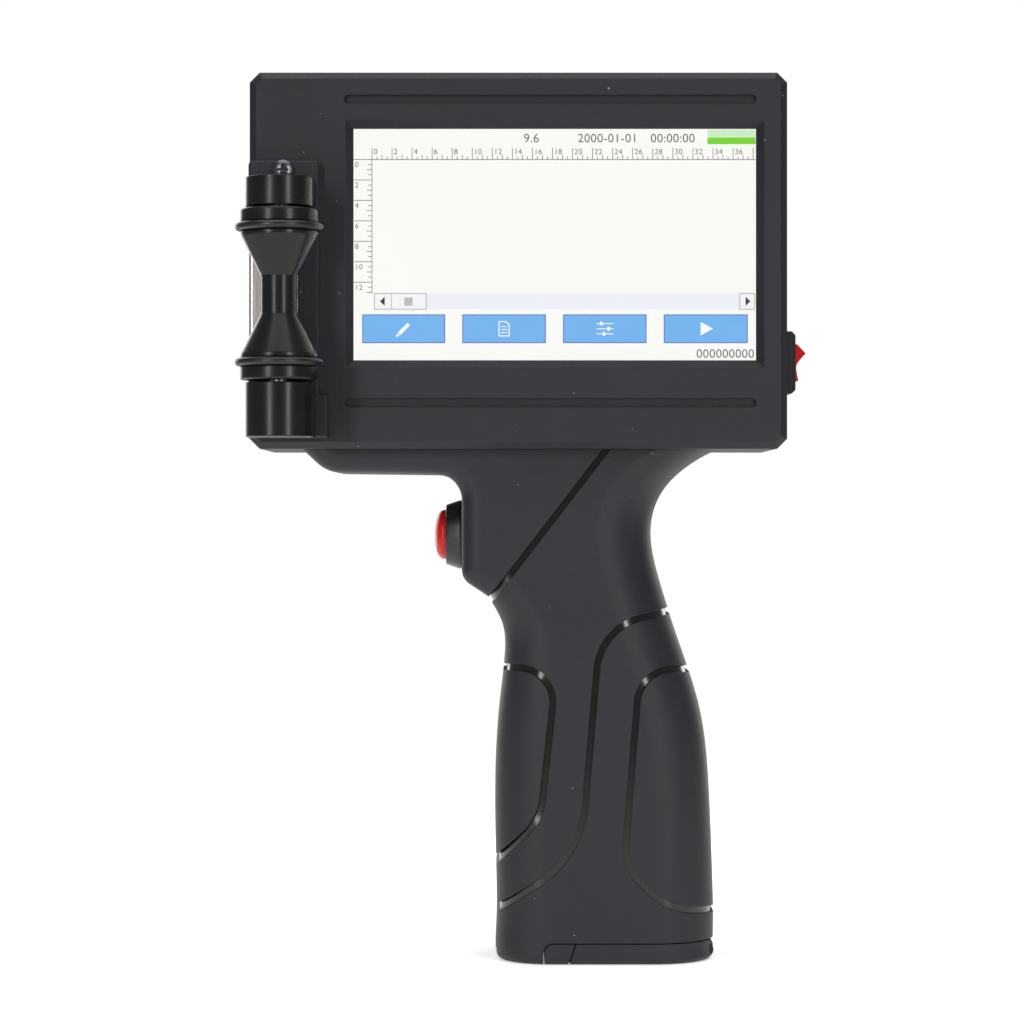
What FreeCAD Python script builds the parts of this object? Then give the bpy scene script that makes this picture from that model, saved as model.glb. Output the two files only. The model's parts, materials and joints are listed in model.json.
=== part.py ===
"""Handheld date code inkjet printer: screen box, guide roller, pistol grip, cartridge and battery.

Frame: +X away from the print face, +Y away from the screen side, +Z up, in millimetres.
The origin is the middle of the flat foot of the grip, which the printer stands on.
"""
import FreeCAD, Part
import math
import os
import re

import Sketcher

V = FreeCAD.Vector
AXES = {"x": V(1, 0, 0), "y": V(0, 1, 0), "z": V(0, 0, 1), "-x": V(-1, 0, 0)}

os.makedirs("parts", exist_ok=True)
doc = FreeCAD.newDocument("date_coder")

# ---------------------------------------------------------------- driving dimensions
SIZES = {
    # box
    "window_width": 93.7, "window_height": 53.9, "window_side": 7.2, "window_drop": 13.0,
    "box_width": 125.0, "box_height": "=window_height + 33.6", "box_depth": 52.0,
    "box_reach": 83.2,          # print face ahead of the grip's middle
    "front_depth": 22.0,        # depth of the front cover
    "cover_wall": 2.5, "corner_chamfer": 2.3, "edge_chamfer": 1.6,
    "fit_gap": 0.3,             # loose fit between a part and its pocket
    "run_gap": 0.05,            # running clearance round a pin or shaft
    # screen
    "window_bevel": 1.8, "gasket_thick": 0.5, "gasket_rim": 3.0, "glass_thick": 1.2, "glass_rim": 3.6,
    "panel_thick": 3.0, "panel_width": "=window_width + 11.3", "panel_height": "=window_height + 10.1",
    "holder_thick": 1.5, "holder_rim": 9.0,
    "groove_width": 2.1, "groove_depth": 1.1, "groove_drop": 6.4, "groove_rise": 10.65,
    # main board
    "board_width": 84.0, "board_height": 60.0, "board_thick": 1.6, "standoff_tall": 2.1,
    "board_side": 17.5, "board_drop": 10.0, "board_inset": 4.0, "small_screw": 1.0,
    "plug_wide": 7.0, "ribbon_wide": 12.0, "ribbon_thick": 0.3,
    # guide roller
    "swath_rise": 34.8, "roller_inset": 7.95, "roller_stand": 14.0,
    "waist_radius": 4.1, "waist_half": 4.3, "cone_radius": 8.8, "cone_half": 14.4,
    "flange_radius": 8.9, "roller_half": 19.5, "ring_radius": 0.95, "ring_seat": 8.2,
    "shaft_radius": 2.0, "block_radius": 7.7, "block_gap": 0.5,
    "upper_block": 6.7, "lower_block": 12.4, "bearing_radius": 4.0, "bearing_tall": 3.0,
    "plate_thick": 2.5, "plate_width": 16.4, "plate_foot": 18.4, "plate_rise": 5.2,
    "guard_thick": 0.8, "guard_half": 13.0, "guard_lap": 11.4,
    # cartridge
    "ink_length": 64.8, "ink_height": 65.0, "ink_thick": 23.5, "snout_length": 14.0,
    "snout_half": 12.0, "snout_thick": 18.0, "ink_drop": 18.8, "door_thick": 2.3,
    "door_length": 77.0, "door_height": 67.0, "hinge_radius": 1.6, "hinge_pin": 0.8,
    # power switch
    "switch_rise": 20.4, "switch_depth": 13.4, "bezel_tall": 14.6, "bezel_wide": 10.6,
    "bezel_thick": 2.6, "case_tall": 12.6, "case_wide": 8.6, "case_deep": 13.0,
    "rocker_wide": 6.6, "rocker_tilt": 15.0, "rocker_half": 5.0, "stub_radius": 0.8,
    # grip
    "grip_height": 120.6, "grip_wall": 2.1, "head_half": 21.0, "trigger_face": 34.0,
    "chin_reach": 71.4, "chin_drop": 5.8, "head_drop": 30.4, "mark_width": 1.6,
    "mark_depth": 0.8, "rear_round": 15.0, "foot_round": 1.8, "rear_reach": 25.8,
    "shell_screw": 1.1, "boss_radius": 2.6,
    # trigger
    "trigger_drop": 20.1, "button_radius": 8.2, "button_nose": 7.1, "button_tall": 4.0,
    "cap_radius": 5.9, "cap_dome": 2.7, "thread_radius": 6.0, "thread_long": 15.0,
    "plunger_radius": 3.6, "nut_radius": 8.6, "nut_thick": 2.5,
    # battery and its door
    "cell_radius": 9.1, "cell_long": "=grip_height - 55.6", "cell_rise": 6.0, "cell_shift": -2.35,
    "wrap_thick": 0.35, "door_tall": 4.8, "door_front": 14.6, "door_gap": 0.25,
    "door_pin": 0.9, "door_lug": 2.6, "lug_place": 9.6, "door_corner": 2.0, "score_width": 0.35,
}

sheet = doc.addObject("Spreadsheet::Sheet", "sizes")
for row, alias in enumerate(SIZES, start=1):
    sheet.set(f"A{row}", alias)
    sheet.setAlias(f"B{row}", alias)
for row, number in enumerate(SIZES.values(), start=1):
    sheet.set(f"B{row}", str(number))
doc.recompute()

# places that many pieces share, as formulas on the sheet
LEFT = "(-box_reach)"
RIGHT = "(box_width - box_reach)"
BOTTOM = "(grip_height)"
TOP = "(grip_height + box_height)"
FRONT = "(-box_depth / 2)"
REAR = "(box_depth / 2)"
SEAM = "(front_depth - box_depth / 2)"
WINDOW = (f"({RIGHT} - window_side - window_width)", f"({RIGHT} - window_side)",
          f"({TOP} - window_drop - window_height)", f"({TOP} - window_drop)")
SWATH = f"({BOTTOM} + swath_rise)"
ROLLER_X = f"({LEFT} + roller_inset)"
ROLLER_Y = f"({FRONT} - roller_stand)"
TRIGGER_Z = f"({BOTTOM} - trigger_drop)"


# ---------------------------------------------------------------- helpers
def formula(text):
    """Puts the sheet's name before each size in a formula."""
    return re.sub(r"[a-z]+_[a-z_]+", r"sizes.\g<0>", str(text))


def worth(text):
    """The number that a formula comes to."""
    result = probe.evalExpression(formula(text))
    return float(getattr(result, "Value", result))


probe = doc.addObject("App::FeaturePython", "probe")
pieces = {}


def piece(label, item):
    """Names a finished sub-part."""
    item.Label = label
    pieces[label] = item
    return item


def bind(item, **formulas):
    """Ties properties of an object to formulas; X, Y and Z stand for its place."""
    for name, text in formulas.items():
        if name in "XYZ":
            name = f"Placement.Base.{name.lower()}"
        item.setExpression(name, formula(text))
    return item


def block(x, y, z):
    """Rectangular block between two limits along each axis."""
    item = doc.addObject("Part::Box", "block")
    return bind(item, X=x[0], Y=y[0], Z=z[0], Length=f"({x[1]}) - ({x[0]})",
                Width=f"({y[1]}) - ({y[0]})", Height=f"({z[1]}) - ({z[0]})")


def rod(axis, at, radius, length, nose=None):
    """Cylinder from a point along an axis, or a cone when the far end has its own radius."""
    item = doc.addObject("Part::Cylinder" if nose is None else "Part::Cone", "rod")
    item.Placement = FreeCAD.Placement(V(), FreeCAD.Rotation(AXES["z"], AXES[axis]))
    bind(item, X=at[0], Y=at[1], Z=at[2], Height=length)
    if nose is None:
        return bind(item, Radius=radius)
    return bind(item, Radius1=radius, Radius2=nose)


def ring(axis, at, centre_radius, wire_radius):
    """Round ring about an axis."""
    item = doc.addObject("Part::Torus", "ring")
    item.Placement = FreeCAD.Placement(V(), FreeCAD.Rotation(AXES["z"], AXES[axis]))
    return bind(item, X=at[0], Y=at[1], Z=at[2], Radius1=centre_radius, Radius2=wire_radius)


def fuse(*items):
    """Union of solids."""
    item = doc.addObject("Part::MultiFuse", "union")
    item.Shapes = list(items)
    return item


def cut(base, *tools):
    """A solid with other solids taken out of it."""
    item = doc.addObject("Part::Cut", "cut")
    item.Base = base
    item.Tool = tools[0] if len(tools) == 1 else group(*tools)
    return item


def common(one, other):
    """What two solids share."""
    item = doc.addObject("Part::Common", "common")
    item.Base = one
    item.Tool = other
    return item


def group(*items):
    """Separate solids kept together."""
    item = doc.addObject("Part::Compound", "group")
    item.Links = list(items)
    return item


def new_body(name, x="0", y="0", z="0", axis="z"):
    """Empty PartDesign body at a place, with its own Z along an axis."""
    body = doc.addObject("PartDesign::Body", name)
    body.Placement = FreeCAD.Placement(V(), FreeCAD.Rotation(AXES["z"], AXES[axis]))
    return bind(body, X=x, Y=y, Z=z)


def attach(sketch, body, plane, offset):
    """Lays a sketch on one of a body's own planes, moved along the plane's normal."""
    support = next(feature for feature in body.Origin.OriginFeatures if feature.Role == plane)
    sketch.AttachmentSupport = [(support, "")]
    sketch.MapMode = "FlatFace"
    sketch.setExpression("AttachmentOffset.Base.z", formula(offset))


def outline(body, plane, offset, corners):
    """Closed sketch of straight sides whose corners follow the sheet."""
    sketch = body.newObject("Sketcher::SketchObject", "outline")
    attach(sketch, body, plane, offset)
    spots = [V(worth(a), worth(b), 0) for a, b in corners]
    for start, end in zip(spots, spots[1:] + spots[:1]):
        sketch.addGeometry(Part.LineSegment(start, end), False)
    for side in range(len(spots)):
        sketch.addConstraint(Sketcher.Constraint("Coincident", side, 2, (side + 1) % len(spots), 1))
    for side, corner in enumerate(corners):
        for kind, text in zip(("DistanceX", "DistanceY"), corner):
            number = sketch.addConstraint(Sketcher.Constraint(kind, -1, 1, side, 1, worth(text)))
            sketch.setExpression(f"Constraints[{number}]", formula(text))
    return sketch


def rectangle(x, y):
    """Corners of a rectangle between two limits each way."""
    return [(x[0], y[0]), (x[1], y[0]), (x[1], y[1]), (x[0], y[1])]


def pad(body, sketch, length, backward=False):
    """Adds a prism on a sketch."""
    item = body.newObject("PartDesign::Pad", "pad")
    item.Profile = sketch
    item.Reversed = backward
    bind(item, Length=length)
    doc.recompute()
    return item


def pocket(body, sketch, length, backward=False):
    """Cuts a prism on a sketch, and makes sure that it cuts."""
    before = body.Shape.Volume
    item = body.newObject("PartDesign::Pocket", "pocket")
    item.Profile = sketch
    item.Reversed = backward
    bind(item, Length=length)
    doc.recompute()
    if body.Shape.Volume >= before - 1e-3:
        raise RuntimeError(f"a pocket of {body.Name} cuts nothing")
    return item


def soften(body, kind, size, wanted):
    """Fillet or Chamfer on the edges of a body that a test picks out."""
    names = [f"Edge{n}" for n, edge in enumerate(body.Shape.Edges, start=1) if wanted(edge)]
    if not names:
        raise RuntimeError(f"no edge to soften on {body.Name}")
    last = body.Tip
    item = body.newObject(f"PartDesign::{kind}", "soft_edge")
    item.Base = (last, names)
    bind(item, **{"Size" if kind == "Chamfer" else "Radius": size})
    doc.recompute()
    return item


def turned(name, at, axis, profile):
    """Solid of revolution: corners of (radius, height) turned about an axis through a point."""
    body = new_body(name, *at, axis=axis)
    sketch = outline(body, "XZ_Plane", "0", profile)
    item = body.newObject("PartDesign::Revolution", "turn")
    item.Profile = sketch
    item.ReferenceAxis = (sketch, ["V_Axis"])
    doc.recompute()
    return body


def plain(name, shape):
    """Feature that holds a shape worked out from the sheet."""
    item = doc.addObject("Part::Feature", name)
    item.Shape = shape
    return item


def rounded_path(points, radii):
    """Edges of straight runs joined by tangent arcs at the inner points."""
    edges = []
    start = points[0]
    for before, corner, after, radius in zip(points, points[1:], points[2:], radii):
        inward = (before - corner).normalize()
        outward = (after - corner).normalize()
        half_turn = inward.getAngle(outward) / 2
        reach = radius / math.tan(half_turn)
        first = corner + inward * reach
        last = corner + outward * reach
        bisector = (inward + outward).normalize()
        centre = corner + bisector * (radius / math.sin(half_turn))
        edges.append(Part.LineSegment(start, first).toShape())
        edges.append(Part.Arc(first, centre - bisector * radius, last).toShape())
        start = last
    edges.append(Part.LineSegment(start, points[-1]).toShape())
    return edges


def at_y(edge, place):
    """True for an edge that lies in a plane across Y."""
    return all(abs(v.Y - worth(place)) < 1e-4 for v in edge.Vertexes)


def along(edge, axis):
    """True for a straight edge along an axis."""
    if not isinstance(edge.Curve, Part.Line):
        return False
    return abs(abs(edge.Curve.Direction.dot(AXES[axis])) - 1) < 1e-6


def near(edge, x, z, reach=0.05):
    """True for an edge whose middle stands at a place seen along Y."""
    middle = edge.BoundBox.Center
    return abs(middle.x - worth(x)) < reach and abs(middle.z - worth(z)) < reach


# ---------------------------------------------------------------- box
def box_outline(inset):
    """Corners of the box seen along Y, chamfered at its four corners."""
    low_x, high_x = f"{LEFT} + {inset}", f"{RIGHT} - {inset}"
    low_z, high_z = f"{BOTTOM} + {inset}", f"{TOP} - {inset}"
    trim = "corner_chamfer"
    return [(f"{low_x} + {trim}", low_z), (f"{high_x} - {trim}", low_z),
            (high_x, f"{low_z} + {trim}"), (high_x, f"{high_z} - {trim}"),
            (f"{high_x} - {trim}", high_z), (f"{low_x} + {trim}", high_z),
            (low_x, f"{high_z} - {trim}"), (low_x, f"{low_z} + {trim}")]


def cover_blank(name, face, depth, to_rear):
    """Open tray: the outline with a chamfered outer face, hollowed from the seam."""
    body = new_body(name)
    pad(body, outline(body, "XZ_Plane", f"-({face})", box_outline("0")), depth, to_rear)
    soften(body, "Chamfer", "edge_chamfer", lambda edge: at_y(edge, face))
    hollow = outline(body, "XZ_Plane", f"-({SEAM})", box_outline("cover_wall"))
    pocket(body, hollow, f"{depth} - cover_wall", to_rear)
    return body


SCREW_SPOTS = [(f"{LEFT} + 7.2", f"{BOTTOM} + 5.0"), (f"{RIGHT} - 6.8", f"{BOTTOM} + 5.0"),
               (f"{LEFT} + 7.2", f"{TOP} - 5.0"), (f"{RIGHT} - 6.8", f"{TOP} - 5.0")]
GATE_X = ("-16", "9")
GATE_Y = ("-14", "8")


def cable_gate():
    """Hole through the box floor for the leads that come up the grip."""
    return block(GATE_X, GATE_Y, (f"{BOTTOM} - 1", f"{BOTTOM} + cover_wall + 1"))


def guard_wrap(name, bent=False):
    """Strip with one leg under the roller and one leg down the print face; its recess has a sharp corner."""
    body = new_body(name)
    low_x, face = LEFT, f"{FRONT} - plate_thick"
    thick = "guard_thick"
    inner_x, inner_y = f"{low_x} + {thick}", f"{face} + {thick}"
    lap_x, end_y = f"{low_x} + guard_lap", f"{REAR} - 4"
    corners = [(low_x, face), (lap_x, face), (lap_x, inner_y), (inner_x, inner_y), (inner_x, end_y),
               (low_x, end_y)]
    pad(body, outline(body, "XY_Plane", f"{SWATH} - guard_half", corners), "2 * guard_half")
    if bent:
        bend_x, bend_y = worth(LEFT), worth(face)
        soften(body, "Fillet", "1.25 * guard_thick", lambda edge: along(edge, "z")
               and abs(edge.BoundBox.Center.x - bend_x) < 0.01
               and abs(edge.BoundBox.Center.y - bend_y) < 0.01)
    return body


def print_window():
    """Opening in the print face for the cartridge snout."""
    return block((f"{LEFT} - 1", f"{LEFT} + cover_wall + 1"),
                 (f"{SEAM} + 4.3", f"{SEAM} + 4.9 + snout_thick"),
                 (f"{SWATH} - snout_half - fit_gap", f"{SWATH} + snout_half + fit_gap"))


def build_front_cover():
    """Front half of the box: screen window with a bevel, two long grooves, switch cut-out."""
    body = cover_blank("front_blank", FRONT, "front_depth", True)
    window = outline(body, "XZ_Plane", f"-{FRONT}", rectangle(WINDOW[:2], WINDOW[2:]))
    pocket(body, window, "cover_wall")
    low_x, high_x, low_z, high_z = (worth(side) for side in WINDOW)
    soften(body, "Chamfer", "window_bevel", lambda edge: at_y(edge, FRONT)
           and low_x - 0.1 < edge.BoundBox.Center.x < high_x + 0.1
           and low_z - 0.1 < edge.BoundBox.Center.z < high_z + 0.1)
    for middle in (f"{TOP} - groove_drop", f"{BOTTOM} + groove_rise"):
        span_x = (f"{WINDOW[0]} - groove_width", WINDOW[1])
        span_z = (f"{middle} - groove_width / 2", f"{middle} + groove_width / 2")
        pocket(body, outline(body, "XZ_Plane", f"-{FRONT}", rectangle(span_x, span_z)), "groove_depth")
        soften(body, "Fillet", "groove_width / 2 - 0.05", lambda edge: along(edge, "y")
               and abs(edge.BoundBox.Center.z - worth(middle)) < worth("groove_width")
               and edge.Length < worth("groove_depth") + 0.1)
    switch_z = f"{BOTTOM} + switch_rise"
    switch_y = f"{FRONT} + switch_depth"
    cut_out = block((f"{RIGHT} - cover_wall - 1", f"{RIGHT} + 1"),
                    (f"{switch_y} - case_wide / 2", f"{switch_y} + case_wide / 2"),
                    (f"{switch_z} - case_tall / 2", f"{switch_z} + case_tall / 2"))
    inner = f"{FRONT} + cover_wall"
    bosses = [rod("y", (x, inner, z), "boss_radius", f"front_depth - cover_wall") for x, z in SCREW_SPOTS]
    pilots = [rod("y", (x, f"{SEAM} - 12", z), "shell_screw", "13") for x, z in SCREW_SPOTS]
    anchors = [rod("y", (x, f"{FRONT} - 1", z), "shell_screw", "cover_wall + 2") for x, z in plate_screws()]
    shell = fuse(body, *bosses)
    piece("front_cover", cut(shell, cut_out, cable_gate(), guard_wrap("front_recess"), *pilots, *anchors))


def plate_screws():
    """Places of the two screws that hold the roller's base plate."""
    return [(f"{ROLLER_X} + 0.1", f"{SWATH} + 29.6"), (f"{ROLLER_X} + 5.6", f"{SWATH} - guard_half - 3.4")]


DOOR_X = (f"({LEFT} + 10.7)", f"({LEFT} + 10.7 + door_length)")
DOOR_Z = (f"({SWATH} - ink_drop - 1)", f"({SWATH} - ink_drop - 1 + door_height)")
HINGE_X = f"({DOOR_X[1]} + 2.2)"
HINGE_Y = f"({REAR} + hinge_radius + fit_gap + 0.1)"
# barrels of the cartridge door's hinge: where each starts and how tall it is
KNUCKLES = {"low": (f"{SWATH} - 12", "10"), "middle": (f"{SWATH} - 1.7", "30"),
            "high": (f"{SWATH} + 28.6", "10")}


def knuckle(place, leaf_x, leaf_y):
    """One barrel of the cartridge door's hinge with its leaf."""
    start, tall = KNUCKLES[place]
    barrel = rod("z", (HINGE_X, HINGE_Y, start), "hinge_radius", tall)
    return fuse(barrel, block(leaf_x, (leaf_y, f"{HINGE_Y} + 0.4"), (start, f"{start} + {tall}")))


def build_rear_cover():
    """Rear half of the box: cartridge door opening, print window, screw columns, sockets."""
    body = cover_blank("rear_blank", REAR, "(box_depth - front_depth)", False)
    tall = "box_depth - front_depth - 1"
    columns = [rod("y", (x, SEAM, z), "boss_radius + 0.6", tall) for x, z in SCREW_SPOTS]
    knuckles = [knuckle(place, (HINGE_X, f"{HINGE_X} + 3.4"), f"{REAR} - 0.4") for place in ("low", "high")]
    bores = [rod("y", (x, f"{SEAM} - 1", z), "shell_screw + 0.15", "box_depth") for x, z in SCREW_SPOTS]
    sinks = [rod("y", (x, f"{SEAM} + 4", z), "boss_radius - 0.4", "box_depth") for x, z in SCREW_SPOTS]
    door_hole = block(DOOR_X, (f"{REAR} - cover_wall - 1", f"{REAR} + 1"), DOOR_Z)
    pin_hole = rod("z", (HINGE_X, HINGE_Y, f"{KNUCKLES['low'][0]} - 1"), "hinge_pin", "60")
    sockets = [block((f"{RIGHT} - cover_wall - 1", f"{RIGHT} + 1"), (f"{SEAM} + 6.8", f"{SEAM} + 15.2"),
                     (f"{SWATH} + 10.8", f"{SWATH} + 19.2")),
               block((f"{RIGHT} - cover_wall - 1", f"{RIGHT} + 1"), (f"{SEAM} + 8.1", f"{SEAM} + 13.9"),
                     (f"{SWATH} - 8.1", f"{SWATH} + 8.1"))]
    shell = fuse(body, *columns, *knuckles)
    piece("rear_cover", cut(shell, door_hole, print_window(), cable_gate(), guard_wrap("rear_recess"),
                            pin_hole, *bores, *sinks, *sockets))


def build_guard_plate():
    """Stainless guard with a narrower window in front of the nozzles."""
    slit = block((f"{LEFT} - 1", f"{LEFT} + 2"), (f"{SEAM} + 6.6", f"{SEAM} + 20.6"),
                 (f"{SWATH} - 8.6", f"{SWATH} + 8.6"))
    piece("guard_plate", cut(guard_wrap("guard_blank", True), slit))


def build_cover_screws():
    """Four screws that draw the rear cover to the front one."""
    screws = []
    for x, z in SCREW_SPOTS:
        head = rod("y", (x, f"{SEAM} + 4", z), "boss_radius - 0.6", "1.6")
        top = (f"{SEAM} + 5", f"{SEAM} + 6")
        slot = block(grown((x, x), "1.2"), top, grown((z, z), "0.3"))
        cross = block(grown((x, x), "0.3"), top, grown((z, z), "1.2"))
        shank = rod("y", (x, f"{SEAM} - 8", z), "shell_screw", "12")
        screws.append(cut(fuse(head, shank), slot, cross))
    piece("cover_screws", group(*screws))


# ---------------------------------------------------------------- screen and board
GASKET_Y = f"({FRONT} + cover_wall)"
GLASS_Y = f"({GASKET_Y} + gasket_thick)"
PANEL_Y = f"({GLASS_Y} + glass_thick)"
HOLDER_Y = f"({PANEL_Y} + panel_thick)"
STANDOFF_Y = f"({HOLDER_Y} + holder_thick)"
BOARD_Y = f"({STANDOFF_Y} + standoff_tall)"
BOARD_BACK = f"({BOARD_Y} + board_thick)"
PANEL_X = (f"({RIGHT} - cover_wall - fit_gap - panel_width)", f"({RIGHT} - cover_wall - fit_gap)")
PANEL_MID = f"({TOP} - window_drop - window_height / 2)"
PANEL_Z = (f"({PANEL_MID} - panel_height / 2)", f"({PANEL_MID} + panel_height / 2)")
BOARD_X = (f"({RIGHT} - board_side - board_width)", f"({RIGHT} - board_side)")
BOARD_Z = (f"({TOP} - board_drop - board_height)", f"({TOP} - board_drop)")
BOARD_SCREWS = [(x, z) for x in (f"({BOARD_X[0]} + board_inset)", f"({BOARD_X[1]} - board_inset)")
                for z in (f"({BOARD_Z[0]} + board_inset)", f"({BOARD_Z[1]} - board_inset)")]

# chips on the board: left, low, width, height, thickness
CHIPS = ((12, 34, 16, 16, 1.6), (36, 36, 12, 10, 1.2), (54, 34, 14, 14, 1.4),
         (14, 14, 10, 6, 2.6), (70, 10, 6, 10, 2.2), (32, 16, 6, 6, 1.2))
# plugs of the trigger's and the battery's leads, and the ribbon half way from them to a board screw
LEAD_X = ("-9", "4")
RIBBON_X = f"(({BOARD_X[0]} + board_inset + {LEAD_X[0]} - plug_wide / 2) / 2)"


def grown(span, amount):
    """A span made longer at both ends."""
    return (f"{span[0]} - ({amount})", f"{span[1]} + ({amount})")


def build_screen():
    """Gasket, touch glass, lit panel and the holder that clamps them."""
    window_x, window_z = WINDOW[:2], WINDOW[2:]
    gasket = block(grown(window_x, "gasket_rim"), (GASKET_Y, GLASS_Y), grown(window_z, "gasket_rim"))
    open_part = block(grown(window_x, "0.6"), (f"{GASKET_Y} - 1", f"{GLASS_Y} + 1"), grown(window_z, "0.6"))
    piece("screen_gasket", cut(gasket, open_part))
    glass = block(grown(window_x, "glass_rim"), (GLASS_Y, PANEL_Y), grown(window_z, "glass_rim"))
    piece("screen_glass", glass)
    piece("lcd_panel", block(PANEL_X, (PANEL_Y, HOLDER_Y), PANEL_Z))
    holder = block(PANEL_X, (HOLDER_Y, STANDOFF_Y), PANEL_Z)
    middle = block(grown(PANEL_X, "-holder_rim"), (f"{HOLDER_Y} - 1", f"{STANDOFF_Y} + 1"),
                   grown(BOARD_Z, "2 - holder_rim"))
    cross = block((BOARD_X[1] + " - 9", BOARD_X[1] + " + 1"), (HOLDER_Y, STANDOFF_Y), PANEL_Z)
    bores = [rod("y", (x, f"{HOLDER_Y} + 0.2", z), "small_screw", "4") for x, z in BOARD_SCREWS]
    piece("lcd_holder", cut(fuse(cut(holder, middle), cross), *bores))


def build_board():
    """Main board with its chips, standoffs, screws and the ribbon to the panel."""
    bores = [rod("y", (x, f"{STANDOFF_Y} - 1", z), "small_screw + 0.1", "8") for x, z in BOARD_SCREWS]
    piece("main_board", cut(block(BOARD_X, (BOARD_Y, BOARD_BACK), BOARD_Z), *bores))
    tubes = []
    screws = []
    for x, z in BOARD_SCREWS:
        tube = rod("y", (x, STANDOFF_Y, z), "small_screw + 1.2", "standoff_tall")
        bore = rod("y", (x, f"{STANDOFF_Y} - 1", z), "small_screw + 0.1", "8")
        tubes.append(cut(tube, bore))
        head = rod("y", (x, BOARD_BACK, z), "small_screw + 0.9", "1.2")
        screws.append(fuse(head, rod("y", (x, f"{HOLDER_Y} + 0.4", z), "small_screw",
                                     f"{BOARD_BACK} - {HOLDER_Y} - 0.4")))
    piece("board_standoffs", group(*tubes))
    piece("board_screws", group(*screws))
    low_x, low_z = BOARD_X[0], BOARD_Z[0]
    chips = []
    for left, low, wide, tall, thick in CHIPS:
        chips.append(block((f"{low_x} + {left}", f"{low_x} + {left + wide}"),
                           (BOARD_BACK, f"{BOARD_BACK} + {thick}"),
                           (f"{low_z} + {low}", f"{low_z} + {low + tall}")))
    piece("board_chips", group(*chips))
    plugs = [block(grown((x, x), "plug_wide / 2"), (BOARD_BACK, f"{BOARD_BACK} + 3.6"),
                   (f"{low_z} + 0.8", f"{low_z} + 6.8")) for x in LEAD_X]
    piece("board_plugs", group(*plugs))
    ribbon_x = grown((RIBBON_X, RIBBON_X), "ribbon_wide / 2")
    near_y = f"{BOARD_BACK} + 0.4"
    far_y = f"{near_y} + ribbon_thick"
    under = f"{PANEL_Z[0]} - 2 * ribbon_thick"
    low_run = block(ribbon_x, (f"{HOLDER_Y} - 0.2", far_y), (under, f"{under} + ribbon_thick"))
    back_run = block(ribbon_x, (near_y, far_y), (under, f"{low_z} + 8"))
    piece("display_ribbon", fuse(low_run, back_run))


def build_sockets():
    """Charging and memory stick sockets on the right wall, with the daughter board behind them."""
    mid_y = f"({SEAM} + 11)"
    back = f"({RIGHT} - cover_wall)"
    middle = (mid_y, mid_y)
    body = block((f"{back} - 11", RIGHT), grown(middle, "4"), (f"{SWATH} + 11", f"{SWATH} + 19"))
    bore = rod("x", (f"{RIGHT} - 9", mid_y, f"{SWATH} + 15"), "3.1", "10")
    pin = rod("x", (f"{RIGHT} - 9.5", mid_y, f"{SWATH} + 15"), "1.05", "8")
    piece("charge_socket", fuse(cut(body, bore), pin))
    level = (SWATH, SWATH)
    usb = block((f"{back} - 12", RIGHT), grown(middle, "2.7"), grown(level, "6.8"))
    mouth = block((f"{RIGHT} - 11", f"{RIGHT} + 1"), grown(middle, "2.3"), grown(level, "6.2"))
    tongue = block((f"{RIGHT} - 11.5", f"{RIGHT} - 2"), (f"{mid_y} - 1.9", f"{mid_y} - 0.1"),
                   grown(level, "5.4"))
    flange = block((f"{back} - 1.2", back), grown(middle, "4.5"), grown(level, "9.5"))
    piece("usb_socket", fuse(cut(fuse(usb, flange), mouth), tongue))
    board = block((f"{back} - 13.6", f"{back} - 12"), grown(middle, "9"), (f"{SWATH} - 12", f"{SWATH} + 24"))
    piece("socket_board", board)


# ---------------------------------------------------------------- guide roller
def build_roller():
    """Hourglass roller with two rubber rings, turning in two blocks on a base plate."""
    at = (ROLLER_X, ROLLER_Y, SWATH)
    seat_low, seat_high = "cone_half", "cone_half + 2 * ring_radius + 0.1"
    upper = [("shaft_radius", "roller_half"), ("flange_radius - 0.4", "roller_half"),
             ("flange_radius", "roller_half - 0.4"), ("flange_radius", seat_high), ("ring_seat", seat_high),
             ("ring_seat", seat_low), ("cone_radius", seat_low), ("cone_radius", "cone_half - 0.9"),
             ("waist_radius", "waist_half")]
    lower = [(radius, f"-({height})") for radius, height in reversed(upper)]
    piece("guide_roller", turned("roller", at, "z", upper + lower))
    for name, sign in (("upper_o_ring", "+"), ("lower_o_ring", "-")):
        height = f"{SWATH} {sign} (cone_half + ring_radius + 0.05)"
        piece(name, ring("z", (ROLLER_X, ROLLER_Y, height), "ring_seat + ring_radius", "ring_radius"))
    low_end = f"{SWATH} - roller_half - block_gap - lower_block + 2"
    piece("roller_shaft", rod("z", (ROLLER_X, ROLLER_Y, low_end), "shaft_radius",
                              "2 * roller_half + 2 * block_gap + lower_block - 2 + upper_block - 2"))


UPPER_Z = f"({SWATH} + roller_half + block_gap)"
LOWER_Z = f"({SWATH} - roller_half - block_gap - lower_block)"
PLATE_Y = f"({FRONT} - plate_thick)"


def bearing_block(name, start, tall):
    """Block with a round nose about the roller's axis and straight sides back to the plate."""
    nose = rod("z", (ROLLER_X, ROLLER_Y, start), "block_radius", tall)
    sides = block((f"{ROLLER_X} - block_radius", f"{ROLLER_X} + block_radius"), (ROLLER_Y, PLATE_Y),
                  (start, f"{start} + {tall}"))
    return fuse(nose, sides)


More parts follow.
